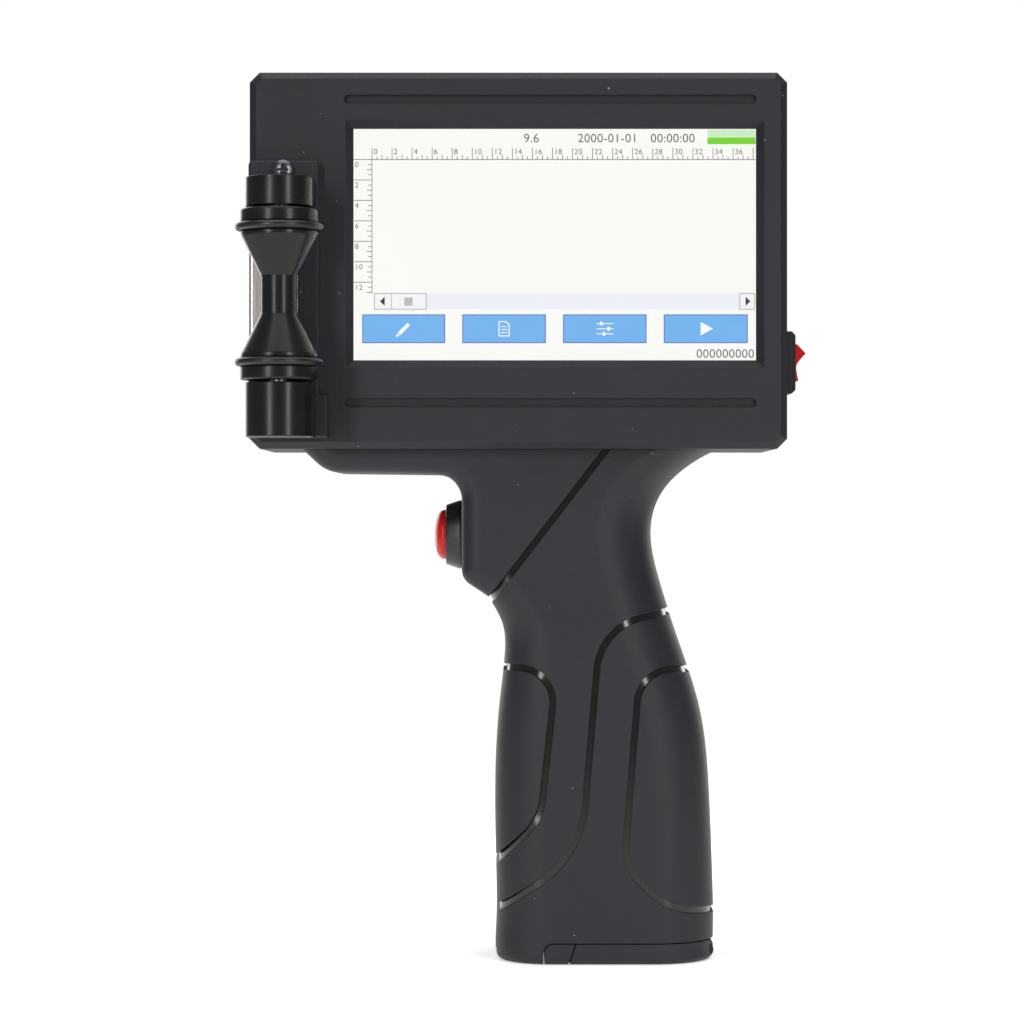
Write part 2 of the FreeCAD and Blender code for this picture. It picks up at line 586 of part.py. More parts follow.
def build_roller_carrier():
    """Base plate, two bearing blocks, two bearings and their screws."""
    foot_top = f"{LOWER_Z} + lower_block - 2.4"
    top = f"{UPPER_Z} + upper_block + plate_rise"
    right, foot = f"{LEFT} + plate_width", f"{LEFT} + plate_foot"
    body = new_body("plate_blank")
    corners = [(LEFT, LOWER_Z), (foot, LOWER_Z), (foot, foot_top), (right, foot_top), (right, top),
               (LEFT, top)]
    pad(body, outline(body, "XZ_Plane", f"-{FRONT}", corners), "plate_thick")
    soften(body, "Fillet", "1.2", lambda edge: along(edge, "y") and edge.BoundBox.Center.z > worth(top) - 0.1)
    soften(body, "Chamfer", "0.5", lambda edge: at_y(edge, PLATE_Y))
    holes = [rod("y", (x, f"{PLATE_Y} - 1", z), "shell_screw + 0.15", "5") for x, z in plate_screws()]
    piece("roller_base_plate", cut(body, guard_wrap("plate_recess"), *holes))
    shaft_hole = "shaft_radius + 0.3"
    upper = bearing_block("upper", UPPER_Z, "upper_block")
    seat = rod("z", (ROLLER_X, ROLLER_Y, f"{UPPER_Z} - 0.1"), "bearing_radius", "bearing_tall + 0.1")
    piece("upper_bearing_block", cut(upper, seat, rod("z", (ROLLER_X, ROLLER_Y, UPPER_Z), shaft_hole,
                                                      "upper_block - 1.2")))
    lower = bearing_block("lower", LOWER_Z, "lower_block")
    seat_z = f"({LOWER_Z} + lower_block - bearing_tall)"
    seat = rod("z", (ROLLER_X, ROLLER_Y, seat_z), "bearing_radius", "bearing_tall + 0.1")
    disc_room = rod("z", (ROLLER_X, ROLLER_Y, f"{LOWER_Z} + 1.4"), "block_radius - 1.1", "5.8")
    back_room = block((f"{ROLLER_X} - block_radius + 1.4", f"{ROLLER_X} + block_radius - 1.4"),
                      (ROLLER_Y, f"{PLATE_Y} - 1.2"), (f"{LOWER_Z} + 1.4", f"{LOWER_Z} + 7.2"))
    shaft_room = rod("z", (ROLLER_X, ROLLER_Y, f"{LOWER_Z} + 5"), shaft_hole, "lower_block - 6")
    piece("lower_bearing_block", cut(lower, seat, disc_room, back_room, shaft_room))
    for name, start in (("upper_bearing", UPPER_Z), ("lower_bearing", seat_z)):
        race = rod("z", (ROLLER_X, ROLLER_Y, start), "bearing_radius", "bearing_tall")
        bore = rod("z", (ROLLER_X, ROLLER_Y, f"{start} - 1"), "shaft_radius + run_gap", "bearing_tall + 2")
        lip = ring("z", (ROLLER_X, ROLLER_Y, f"{start} + bearing_tall"), "bearing_radius - 0.9", "0.3")
        lip_low = ring("z", (ROLLER_X, ROLLER_Y, start), "bearing_radius - 0.9", "0.3")
        piece(name, cut(race, bore, lip, lip_low))
    disc = rod("z", (ROLLER_X, ROLLER_Y, f"{LOWER_Z} + 3.6"), "block_radius - 1.7", "0.6")
    hub = rod("z", (ROLLER_X, ROLLER_Y, f"{LOWER_Z} + 4.2"), "shaft_radius + 1.2", "1.6")
    slots = []
    for step in range(12):
        angle = math.radians(30 * step)
        spot = (f"{ROLLER_X} + 4.7 * {math.cos(angle):.5f}", f"{ROLLER_Y} + 4.7 * {math.sin(angle):.5f}",
                f"{LOWER_Z} + 3")
        slots.append(rod("z", spot, "0.5", "2"))
    hole = rod("z", (ROLLER_X, ROLLER_Y, f"{LOWER_Z} + 3"), "shaft_radius", "4")
    piece("encoder_disc", cut(fuse(disc, hub), hole, *slots))
    sensor = block((f"{ROLLER_X} - 3", f"{ROLLER_X} + 3"), (f"{ROLLER_Y} + 3.9", f"{PLATE_Y} - 1.2"),
                   (f"{LOWER_Z} + 1.4", f"{LOWER_Z} + 6.6"))
    slot = block(grown((ROLLER_X, ROLLER_X), "4"), (f"{ROLLER_Y} + 3", f"{ROLLER_Y} + block_radius - 1"),
                 (f"{LOWER_Z} + 3", f"{LOWER_Z} + 4.9"))
    piece("encoder_sensor", cut(sensor, slot))


def cross_head(x, face, z, radius, tall):
    """Pan head that stands out of a face towards -Y, with a cross recess."""
    head = rod("y", (x, f"{face} - {tall}", z), f"{radius}", f"{tall}")
    dome = doc.addObject("Part::Sphere", "dome")
    bind(dome, X=x, Y=f"{face} + {radius} * 1.1", Z=z, Radius=f"({radius}) * 1.1 + {tall}")
    arms = []
    for wide, high in ((0.5, 2.6), (2.6, 0.5)):
        arms.append(block(grown((x, x), wide / 2), (f"{face} - {tall} - 1", f"{face} - 0.5"),
                          grown((z, z), high / 2)))
    return cut(common(head, dome), *arms)


def build_plate_screws():
    """Cross head screws that hold the base plate to the front cover."""
    screws = []
    for x, z in plate_screws():
        head = cross_head(x, PLATE_Y, z, "2.3", "1.7")
        shank = rod("y", (x, PLATE_Y, z), "shell_screw", "plate_thick + cover_wall")
        screws.append(fuse(head, shank))
    piece("base_plate_screws", group(*screws))


# ---------------------------------------------------------------- cartridge
INK_X = f"({LEFT} + 1 + snout_length)"
INK_Y = (f"({SEAM} + 1.8)", f"({SEAM} + 1.8 + ink_thick)")
INK_Z = (f"({SWATH} - ink_drop)", f"({SWATH} - ink_drop + ink_height)")


def build_cartridge():
    """Ink cartridge with its snout and nozzle plate, and what holds and feeds it."""
    body = new_body("ink_blank")
    pad(body, outline(body, "XZ_Plane", f"-{INK_Y[0]}", rectangle((INK_X, f"{INK_X} + ink_length"), INK_Z)),
        "ink_thick", True)
    soften(body, "Fillet", "2", lambda edge: along(edge, "y"))
    snout_y = (f"({SEAM} + 4.6)", f"({SEAM} + 4.6 + snout_thick)")
    snout = block((f"{INK_X} - snout_length + 0.2", f"{INK_X} + 1"), snout_y,
                  (f"{SWATH} - snout_half", f"{SWATH} + snout_half"))
    grip_rib = block((f"{INK_X} + ink_length - 8", f"{INK_X} + ink_length - 6.8"),
                     (f"{INK_Y[1]} - 0.1", f"{INK_Y[1]} + 0.7"), grown(INK_Z, "-8"))
    piece("ink_cartridge", fuse(body, snout, grip_rib))
    nozzle = block((f"{INK_X} - snout_length", f"{INK_X} - snout_length + 0.2"),
                   (f"{snout_y[0]} + 3.6", f"{snout_y[1]} - 3.6"), (f"{SWATH} - 8", f"{SWATH} + 8"))
    slots = [block((f"{INK_X} - snout_length - 1", f"{INK_X} - snout_length + 0.1"),
                   (f"{snout_y[0]} + {place}", f"{snout_y[0]} + {place + 0.4}"),
                   grown((SWATH, SWATH), "6.35"))
             for place in (7.4, 10.2)]
    piece("nozzle_plate", cut(nozzle, *slots))
    far_x = f"({INK_X} + ink_length)"
    cradle_x, deep_y = f"{far_x} + 3.4", (f"{SEAM} + 0.3", f"{INK_Y[1]} - 1")
    spans = ((f"{INK_Z[0]} - 1.8", f"{INK_Z[0]} - 0.3"), (f"{INK_Z[1]} + 0.3", f"{INK_Z[1]} + 1.8"))
    rails = [block((f"{INK_X} + 24", cradle_x), deep_y, span) for span in spans]
    back = block((f"{INK_X} + 2", cradle_x), (f"{SEAM} + 0.3", f"{INK_Y[0]} - 0.1"), grown(INK_Z, "1.8"))
    end = block((f"{far_x} + 1.9", cradle_x), deep_y, grown(INK_Z, "1.8"))
    lighten = block((f"{INK_X} + 14", f"{far_x} - 14"), (f"{SEAM} - 1", f"{INK_Y[0]} + 1"),
                    grown(INK_Z, "-14"))
    piece("cartridge_cradle", cut(fuse(back, end, *rails), lighten))
    contact_x = (f"({INK_X} + 4)", f"({INK_X} + 22)")
    piece("contact_block", block(contact_x, (f"{SEAM} + 3", f"{INK_Y[1]} - 2"),
                                 (f"{BOTTOM} + cover_wall", f"{INK_Z[0]} - 1.6")))
    pins = []
    for row in range(4):
        for column in range(6):
            pins.append(rod("z", (f"{contact_x[0]} + {2.5 + 2.6 * column}", f"{SEAM} + {6 + 4 * row}",
                                  f"{INK_Z[0]} - 1.6"), "0.5", "1.6"))
    piece("contact_pins", group(*pins))
    clip = new_body("clip_blank")
    bends = ((1.9, 8), (0.2, 14), (0.2, 18), (1.9, 24), (1.5, 24.4), (0, 18.2), (0, 13.8), (1.5, 7.6))
    spots = [(f"{far_x} + {out}", f"{SWATH} + {up}") for out, up in bends]
    pad(clip, outline(clip, "XZ_Plane", f"-({SEAM} + 8)", spots), "10", True)
    piece("cartridge_clip", clip)


def build_cartridge_door():
    """Flush door in the rear cover, hinged along one edge."""
    panel = block(grown(DOOR_X, "-fit_gap"), (f"{REAR} - door_thick", REAR), grown(DOOR_Z, "-fit_gap"))
    start, tall = KNUCKLES["middle"]
    arm = knuckle("middle", (f"{DOOR_X[1]} - 4", HINGE_X), f"{REAR} + fit_gap")
    root = block((f"{DOOR_X[1]} - 4", f"{DOOR_X[1]} - fit_gap"), (f"{REAR} - 0.4", f"{REAR} + fit_gap + 0.2"),
                 (start, f"{start} + {tall}"))
    bore = rod("z", (HINGE_X, HINGE_Y, f"{SWATH} - 5"), "hinge_pin + run_gap", "40")
    notch = rod("z", (f"{DOOR_X[0]} + 5", f"{REAR} + 5.2", f"{SWATH} + 4"), "6.5", "20")
    ribs = [block((f"{DOOR_X[0]} + {14 + 3 * step}", f"{DOOR_X[0]} + {15.2 + 3 * step}"),
                  (f"{REAR} - 0.1", f"{REAR} + 0.6"), (f"{SWATH} + 4", f"{SWATH} + 24")) for step in range(5)]
    piece("cartridge_door", cut(fuse(panel, arm, root, *ribs), bore, notch))
    pin_z = f"{KNUCKLES['low'][0]} + 0.6"
    piece("cartridge_door_pin", rod("z", (HINGE_X, HINGE_Y, pin_z), "hinge_pin", "49.4"))


# ---------------------------------------------------------------- power switch
SWITCH_Y = f"({FRONT} + switch_depth)"
SWITCH_Z = f"({BOTTOM} + switch_rise)"
ROCKER_X = f"({RIGHT} + 0.5)"


def build_switch():
    """Rocker switch snapped into the right wall."""
    rim = new_body("bezel_blank")
    half_w, half_t = "bezel_wide / 2", "bezel_tall / 2"
    corners = rectangle((f"{SWITCH_Y} - {half_w}", f"{SWITCH_Y} + {half_w}"),
                        (f"{SWITCH_Z} - {half_t}", f"{SWITCH_Z} + {half_t}"))
    pad(rim, outline(rim, "YZ_Plane", RIGHT, corners), "bezel_thick")
    soften(rim, "Chamfer", "0.9", lambda edge: edge.BoundBox.XMin > worth(f"{RIGHT} + bezel_thick") - 0.01)
    middle_y, middle_z = (SWITCH_Y, SWITCH_Y), (SWITCH_Z, SWITCH_Z)
    case = block((f"{RIGHT} - case_deep", f"{RIGHT} + 0.5"), grown(middle_y, "case_wide / 2 - 0.1"),
                 grown(middle_z, "case_tall / 2 - 0.1"))
    room = block((f"{RIGHT} - 4.6", f"{RIGHT} + 5"), grown(middle_y, "rocker_wide / 2 + fit_gap"),
                 grown(middle_z, "rocker_half + 0.45"))
    pivot = rod("y", (ROCKER_X, f"{SWITCH_Y} - rocker_wide / 2 - 0.9", SWITCH_Z),
                "stub_radius + run_gap", "rocker_wide + 1.8")
    piece("switch_body", cut(fuse(rim, case), room, pivot))
    rocker = new_body("rocker_blank", ROCKER_X, SWITCH_Y, SWITCH_Z)
    rocker.Placement.Rotation = FreeCAD.Rotation(AXES["y"], SIZES["rocker_tilt"])
    rocker.setExpression("Placement.Rotation.Angle", formula("rocker_tilt"))
    shape = [("-3", "-2.6"), ("-3", "2.6"), ("0.4", "rocker_half"), ("1.6", "rocker_half - 0.2"),
             ("3.9", "3.3"), ("3.5", "2.6"), ("2.7", "0.9"), ("2.5", "0"), ("2.7", "-0.9"), ("3.5", "-2.6"),
             ("3.9", "-3.3"), ("1.6", "-rocker_half + 0.2"), ("0.4", "-rocker_half")]
    pad(rocker, outline(rocker, "XZ_Plane", "rocker_wide / 2", shape), "rocker_wide", True)
    stub = rod("y", (ROCKER_X, f"{SWITCH_Y} - rocker_wide / 2 - 0.8", SWITCH_Z),
               "stub_radius", "rocker_wide + 1.6")
    piece("switch_rocker", fuse(rocker, stub))
    tabs = [block((f"{RIGHT} - case_deep - 6.5", f"{RIGHT} - case_deep"),
                  (f"{SWITCH_Y} + 0.6", f"{SWITCH_Y} + 1.4"),
                  (f"{SWITCH_Z} + {low}", f"{SWITCH_Z} + {low + 4.8}")) for low in (-5.4, 0.6)]
    piece("switch_terminals", group(*tabs))


# ---------------------------------------------------------------- grip
# stations up the grip: share of its height, front reach, rear reach, half thickness, front rounding
STATIONS = [(0.0, 25.9, 25.8, 21.3, 13), (0.08, 25.9, 25.7, 21.2, 13), (0.16, 25.9, 25.5, 21.2, 13),
            (0.345, 26.2, 24.6, 21.0, 13),
            (0.498, 25.2, 22.3, 20.8, 12.5), (0.6, 23.9, 18.5, 20.6, 11.5), (0.655, 24.3, 16.2, 20.6, 11),
            (0.7, 26.9, 14.5, 20.5, 10), (0.75, 30.6, 12.7, 20.5, 9), (0.85, 32.6, 10.9, 20.5, 8),
            (0.93, 33.2, 14.6, 20.5, 8), (0.967, 33.4, 19.4, 20.5, 8), (1.0, 33.4, 26.4, 20.5, 8)]


def tangent_corners(low_x, high_x, side, round_front, round_rear):
    """Middle, radius and start angle of the four corner arcs of a grip section."""
    return [(high_x - round_rear, round_rear - side, round_rear, -90),
            (high_x - round_rear, side - round_rear, round_rear, 0),
            (low_x + round_front, side - round_front, round_front, 90),
            (low_x + round_front, round_front - side, round_front, 180)]


def station_sketch(body, share, front, rear, half, rounding, inset):
    """Section of the grip: rounded front corners and fuller rear corners."""
    sketch = body.newObject("Sketcher::SketchObject", "station")
    attach(sketch, body, "XY_Plane", f"{share} * grip_height")
    low_x, high_x, side = (worth(f"{text} - ({inset})") for text in (front, rear, half))
    low_x = -low_x
    round_front, round_rear = (worth(f"{text} - ({inset})") for text in (rounding, "rear_round"))
    flat = [((low_x + round_front, -side), (high_x - round_rear, -side)),
            ((high_x, round_rear - side), (high_x, side - round_rear)),
            ((high_x - round_rear, side), (low_x + round_front, side)),
            ((low_x, side - round_front), (low_x, round_front - side))]
    turns = tangent_corners(low_x, high_x, side, round_front, round_rear)
    for (start, end), (x, y, radius, angle) in zip(flat, turns):
        sketch.addGeometry(Part.LineSegment(V(*start, 0), V(*end, 0)), False)
        circle = Part.Circle(V(x, y, 0), V(0, 0, 1), radius)
        sketch.addGeometry(Part.ArcOfCircle(circle, math.radians(angle), math.radians(angle + 90)), False)
    for side_number in range(4):
        line = 2 * side_number
        arc = line + 1
        following = (line + 2) % 8
        sketch.addConstraint(Sketcher.Constraint("Tangent", line, 2, arc, 1))
        sketch.addConstraint(Sketcher.Constraint("Tangent", arc, 2, following, 1))
        sketch.addConstraint(Sketcher.Constraint("Vertical" if side_number % 2 else "Horizontal", line))
    sketch.addConstraint(Sketcher.Constraint("Equal", 1, 3))
    sketch.addConstraint(Sketcher.Constraint("Equal", 5, 7))
    for arc, text in ((1, "rear_round"), (5, rounding)):
        number = sketch.addConstraint(Sketcher.Constraint("Radius", arc, worth(f"{text} - ({inset})")))
        sketch.setExpression(f"Constraints[{number}]", formula(f"{text} - ({inset})"))
    for kind, line, sign, text in (("DistanceY", 0, "-", half), ("DistanceX", 2, "", rear),
                                   ("DistanceY", 4, "", half), ("DistanceX", 6, "-", front)):
        size = f"{sign}({text} - ({inset}))"
        number = sketch.addConstraint(Sketcher.Constraint(kind, -1, 1, line, 1, worth(size)))
        sketch.setExpression(f"Constraints[{number}]", formula(size))
    return sketch


def grip_loft(name, inset):
    """Loft through the stations, drawn in by an inset all round."""
    body = new_body(name)
    sections = [station_sketch(body, *station, inset) for station in STATIONS]
    loft = body.newObject("PartDesign::AdditiveLoft", "loft")
    loft.Profile = sections[0]
    loft.Sections = sections[1:]
    doc.recompute()
    return body


HEAD = [("-chin_reach", BOTTOM), ("-chin_reach + chin_drop", f"{BOTTOM} - chin_drop + 0.4"),
        ("-trigger_face", f"{BOTTOM} - chin_drop"), ("-trigger_face", f"{BOTTOM} - head_drop"),
        ("-trigger_face + 6.9", f"{BOTTOM} - head_drop - 4.6"), ("4.3", f"{BOTTOM} + 5.8"),
        ("-chin_reach", f"{BOTTOM} + 5.8")]


def grip_head(name):
    """Chin under the box and the housing round the trigger, with soft corners."""
    body = new_body(name)
    pad(body, outline(body, "XZ_Plane", "head_half", HEAD), "2 * head_half", True)
    chin, knee, brow = HEAD[1], HEAD[2], HEAD[3]
    soften(body, "Fillet", "6.2", lambda edge: along(edge, "y") and near(edge, *knee))
    soften(body, "Fillet", "8", lambda edge: along(edge, "y") and near(edge, *chin))
    soften(body, "Fillet", "4", lambda edge: along(edge, "y") and near(edge, *brow))
    high, right = worth(BOTTOM) + 7, worth("-trigger_face + 8")
    soften(body, "Fillet", "4.5", lambda edge: (at_y(edge, "head_half") or at_y(edge, "-head_half"))
           and edge.BoundBox.ZMin < high and edge.BoundBox.XMax < right and edge.Length > 0.5)
    return body


# grooves seen from the side, drawn for one grip height: corners of each path and the radii that round them
MARKS = {
    "middle": ([(30, 85.8), (-1.5, 79.0), (-6.1, 25.8), (-34, 6.8)], (13.3, 24)),
    "front": ([(-34, 69.0), (-11.7, 69.7), (-15.5, 34.0), (-34, 16.0)], (8, 14)),
    "rear": ([(34, 68.3), (7.7, 69.2), (4.0, 23.2), (13.5, 13.4), (34, 10.8)], (8, 11.5, 18)),
    "slant": ([(7, 129.8), (-34, 76.5)], ()),
}
DRAWN_HEIGHT = 120.6


def mark_strip(points, radii, low_y, high_y):
    """Upright strip along a groove's path, cut through the grip's thickness."""
    stretch = worth("grip_height") / DRAWN_HEIGHT
    spots = [V(x, 0, z * stretch) for x, z in points]
    half = worth("mark_width") / 2
    if radii:
        rim = Part.Wire(rounded_path(spots, radii)).makeOffset2D(half, 0, False, False)
    else:
        side = (spots[1] - spots[0]).cross(V(0, 1, 0)).normalize() * half
        ends = [spots[0] + side, spots[1] + side, spots[1] - side, spots[0] - side]
        rim = Part.makePolygon(ends + ends[:1])
    band = Part.Face(rim)
    return band.translated(V(0, low_y, 0)).extrude(V(0, high_y - low_y, 0))


SHELL_SCREWS = [("-26", f"{BOTTOM} - 5.4"), ("-13.5", f"{BOTTOM} - 38"), ("9.6", f"{BOTTOM} - 4"),
                ("-20.2", "3.2")]
DOOR_PIVOT = ("(rear_reach - door_tall / 2)", "(door_tall / 2)")


def grip_form():
    """Outside of the grip with its head, and a soft rim at the foot."""
    foot = new_body("foot_mould")
    pad(foot, station_sketch(foot, *STATIONS[0], "-0.02"), "foot_round + 2")
    soften(foot, "Fillet", "foot_round", lambda edge: edge.BoundBox.ZMax < 0.01)
    above = block(("-100", "100"), ("-50", "50"), ("foot_round + 1", BOTTOM))
    return common(fuse(grip_loft("grip_form", "0"), grip_head("head_form")), fuse(foot, above))


def grip_room():
    """Inside of the grip: the stem, the room behind the trigger and the chin, above the foot."""
    hollow = grip_loft("grip_hollow", "grip_wall")
    high = f"{BOTTOM} + 1"
    trigger_room = block(("-trigger_face + grip_wall + 1", "-8"), ("-head_half + 5", "head_half - 5"),
                         (f"{TRIGGER_Z} - 9.5", high))
    chin_room = block(("-chin_reach + 12", "-trigger_face + 4"), ("-head_half + 4.5", "head_half - 4.5"),
                      (f"{BOTTOM} - 2.4", high))
    foot = block(("-60", "-door_front - door_gap - 0.6"), ("-50", "50"), ("-1", "door_tall + 1"))
    return cut(fuse(hollow, trigger_room, chin_room), foot)


def grip_marks():
    """Grooves along the paths, as deep as the core that stays under them."""
    core = grip_loft("grip_core", "mark_depth")
    half = worth("head_half") + 5
    strips = [mark_strip(*mark, -half, half) for mark in MARKS.values()]
    return cut(plain("marks", Part.makeCompound(strips)), core)


def door_blank(name, spare):
    """Block of the battery door with its round upper corner, made larger by a gap."""
    body = new_body(name)
    corners = rectangle((f"-door_front - {spare}", "40"), ("-1", f"door_tall + {spare}"))
    pad(body, outline(body, "XZ_Plane", "50", corners), "100", True)
    soften(body, "Fillet", f"door_corner + {spare}", lambda edge: along(edge, "y")
           and near(edge, f"-door_front - {spare}", f"door_tall + {spare}"))
    return body


def build_grip(form):
    """Two grip shells, grooved outside, hollow inside, joined by screws through columns."""
    columns = [rod("y", (x, "-head_half - 5", z), "boss_radius", "2 * head_half + 10")
               for x, z in SHELL_SCREWS]
    seats = [rod("x", ("-trigger_face + 0.1", "0", TRIGGER_Z), "nut_radius + 1.2", "grip_wall + 0.9")]
    solid = fuse(cut(form, grip_room()), common(form, group(*columns)), common(form, group(*seats)))
    trigger_hole = rod("x", ("-trigger_face - 1", "0", TRIGGER_Z), "thread_radius + 0.1", "12")
    body = cut(solid, door_blank("door_room", "door_gap"), trigger_hole, grip_marks())
    lugs = group(*[door_lug(sign) for sign in ("-", "")])
    pin_hole = door_pin_rod("door_pin", "0.2")
    whole = cut(fuse(body, lugs), pin_hole)
    front_half = block(("-100", "100"), ("-50", "0"), ("-1", BOTTOM))
    rear_half = block(("-100", "100"), ("0", "50"), ("-1", BOTTOM))
    pilots = [rod("y", (x, "-9", z), "shell_screw", "10") for x, z in SHELL_SCREWS]
    bores = [rod("y", (x, "-1", z), "shell_screw + 0.15", "40") for x, z in SHELL_SCREWS]
    sinks = [rod("y", (x, "5", z), "boss_radius - 0.5", "40") for x, z in SHELL_SCREWS]
    piece("grip_front_shell", cut(common(whole, front_half), *pilots))
    piece("grip_rear_shell", cut(common(whole, rear_half), *bores, *sinks))
    screws = []
    for x, z in SHELL_SCREWS:
        head = rod("y", (x, "5", z), "boss_radius - 0.7", "1.6")
        slot = block((f"{x} - 1.2", f"{x} + 1.2"), ("6", "7"), (f"{z} - 0.3", f"{z} + 0.3"))
        screws.append(cut(fuse(head, rod("y", (x, "-8", z), "shell_screw", "13")), slot))
    piece("grip_screws", group(*screws))


def door_pin_rod(radius, spare):
    """Rod along the battery door's hinge line, from lug to lug, made longer by a spare at both ends."""
    reach = f"(lug_place + door_lug / 2 - 0.2 + {spare})"
    return rod("y", (DOOR_PIVOT[0], f"-{reach}", DOOR_PIVOT[1]), radius, f"2 * {reach}")


def door_lug(sign):
    """Lug of the grip that holds one end of the battery door's pin."""
    pivot_x, pivot_z = DOOR_PIVOT
    middle = f"{sign}lug_place"
    start, end = f"{middle} - door_lug / 2", f"{middle} + door_lug / 2"
    eye = rod("y", (pivot_x, start, pivot_z), "door_tall / 2 - 0.3", "door_lug")
    neck = block((f"{pivot_x} - door_tall / 2 + 0.3", f"{pivot_x} + door_tall / 2 - 1"), (start, end),
                 (pivot_z, "door_tall + 2.5"))
    return fuse(eye, neck)


def build_battery_door(form):
    """Cap that closes the foot of the grip, hinged at its rear edge."""
    pivot_x, pivot_z = DOOR_PIVOT
    before_pivot = block(("-100", pivot_x), ("-50", "50"), ("-2", "door_tall + 1"))
    slab = common(door_blank("door_slab", "0"), before_pivot)
    barrel = rod("y", (pivot_x, "-50", pivot_z), "door_tall / 2", "100")
    cap = common(form, fuse(slab, barrel))
    room = block(("-door_front + grip_wall", f"{pivot_x} - 5"), ("-14", "14"), ("1.8", "door_tall + 1"))
    slots = [block((f"{pivot_x} - 4.4", f"{pivot_x} + 4"),
                   grown((f"{sign}lug_place", f"{sign}lug_place"), "door_lug / 2 + fit_gap"),
                   ("-1", "door_tall + 1")) for sign in ("-", "")]
    piece("battery_door", cut(cap, room, door_pin_rod("door_pin + run_gap", "0.5"), *slots, *score_lines()))
    piece("battery_door_pin", door_pin_rod("door_pin", "0"))


def score_lines():
    """Fine lines scored in the battery door: leaning across its edge, then straight under the foot."""
    lean = new_body("score")
    high, low = ("-door_front + 7.4", "door_tall + 1"), ("-door_front + 5.2", "-1")
    spots = [low, (f"{low[0]} + score_width", low[1]), (f"{high[0]} + score_width", high[1]), high]
    pad(lean, outline(lean, "XZ_Plane", "head_half - 0.9", spots), "20")
    under = block(("-door_front + 5.65", "-door_front + 5.65 + score_width"), ("-50", "50"), ("-1", "0.5"))
    return [lean, under]


# ---------------------------------------------------------------- battery
def cell_spots():
    """Middles of the three cells: two side by side, the third in the notch between them."""
    drop = "cell_radius * sqrt(3) / 2"
    return [("cell_shift - cell_radius", f"-({drop})"), ("cell_shift + cell_radius", f"-({drop})"),
            ("cell_shift", f"({drop})")]


def build_battery():
    """Three cells in a sleeve, a contact plate above and a foam pad below."""
    cells = []
    for x, y in cell_spots():
        can = rod("z", (x, y, "cell_rise"), "cell_radius", "cell_long - 1")
        cap = rod("z", (x, y, "cell_rise + cell_long - 1"), "3.2", "1")
        cells.append(fuse(can, cap))
    piece("battery_cells", group(*cells))

    def sleeve(radius):
        """Prism round the three cells at a radius from each cell's middle."""
        spots = [V(worth(x), worth(y), 0) for x, y in cell_spots()]
        edges = []
        middle = (spots[0] + spots[1] + spots[2]) * (1 / 3)
        for number, spot in enumerate(spots):
            following = spots[(number + 1) % 3]
            before = spots[number - 1]
            out_next = (following - spot).cross(V(0, 0, 1)).normalize() * radius
            out_last = (spot - before).cross(V(0, 0, 1)).normalize() * radius
            crest = spot + (spot - middle).normalize() * radius
            edges.append(Part.Arc(spot + out_last, crest, spot + out_next).toShape())
            edges.append(Part.LineSegment(spot + out_next, following + out_next).toShape())
        face = Part.Face(Part.Wire(edges))
        return face.translated(V(0, 0, worth("cell_rise"))).extrude(V(0, 0, worth("cell_long - 1.2")))

    skin = worth("wrap_thick")
    inside = sleeve(worth("cell_radius") + 0.1)
    outside = sleeve(worth("cell_radius") + 0.1 + skin)
    piece("battery_wrap", plain("wrap", outside.cut(inside)))
    high = "cell_rise + cell_long"
    plate = block(("cell_shift - 13", "cell_shift + 13"), ("-8.5", "11"), (f"{high} + 0.1", f"{high} + 1.6"))
    leaves = [block(("cell_shift - 5", "cell_shift + 5"), (low, low + 4), (high, f"{high} + 0.3"))
              for low in (-7, 5)]
    piece("battery_contacts", fuse(plate, *leaves))
    pad_x = ("cell_shift - 8", "cell_shift + 12")
    piece("battery_pad", block(pad_x, ("-11", "11"), ("door_tall + 0.3", "cell_rise")))


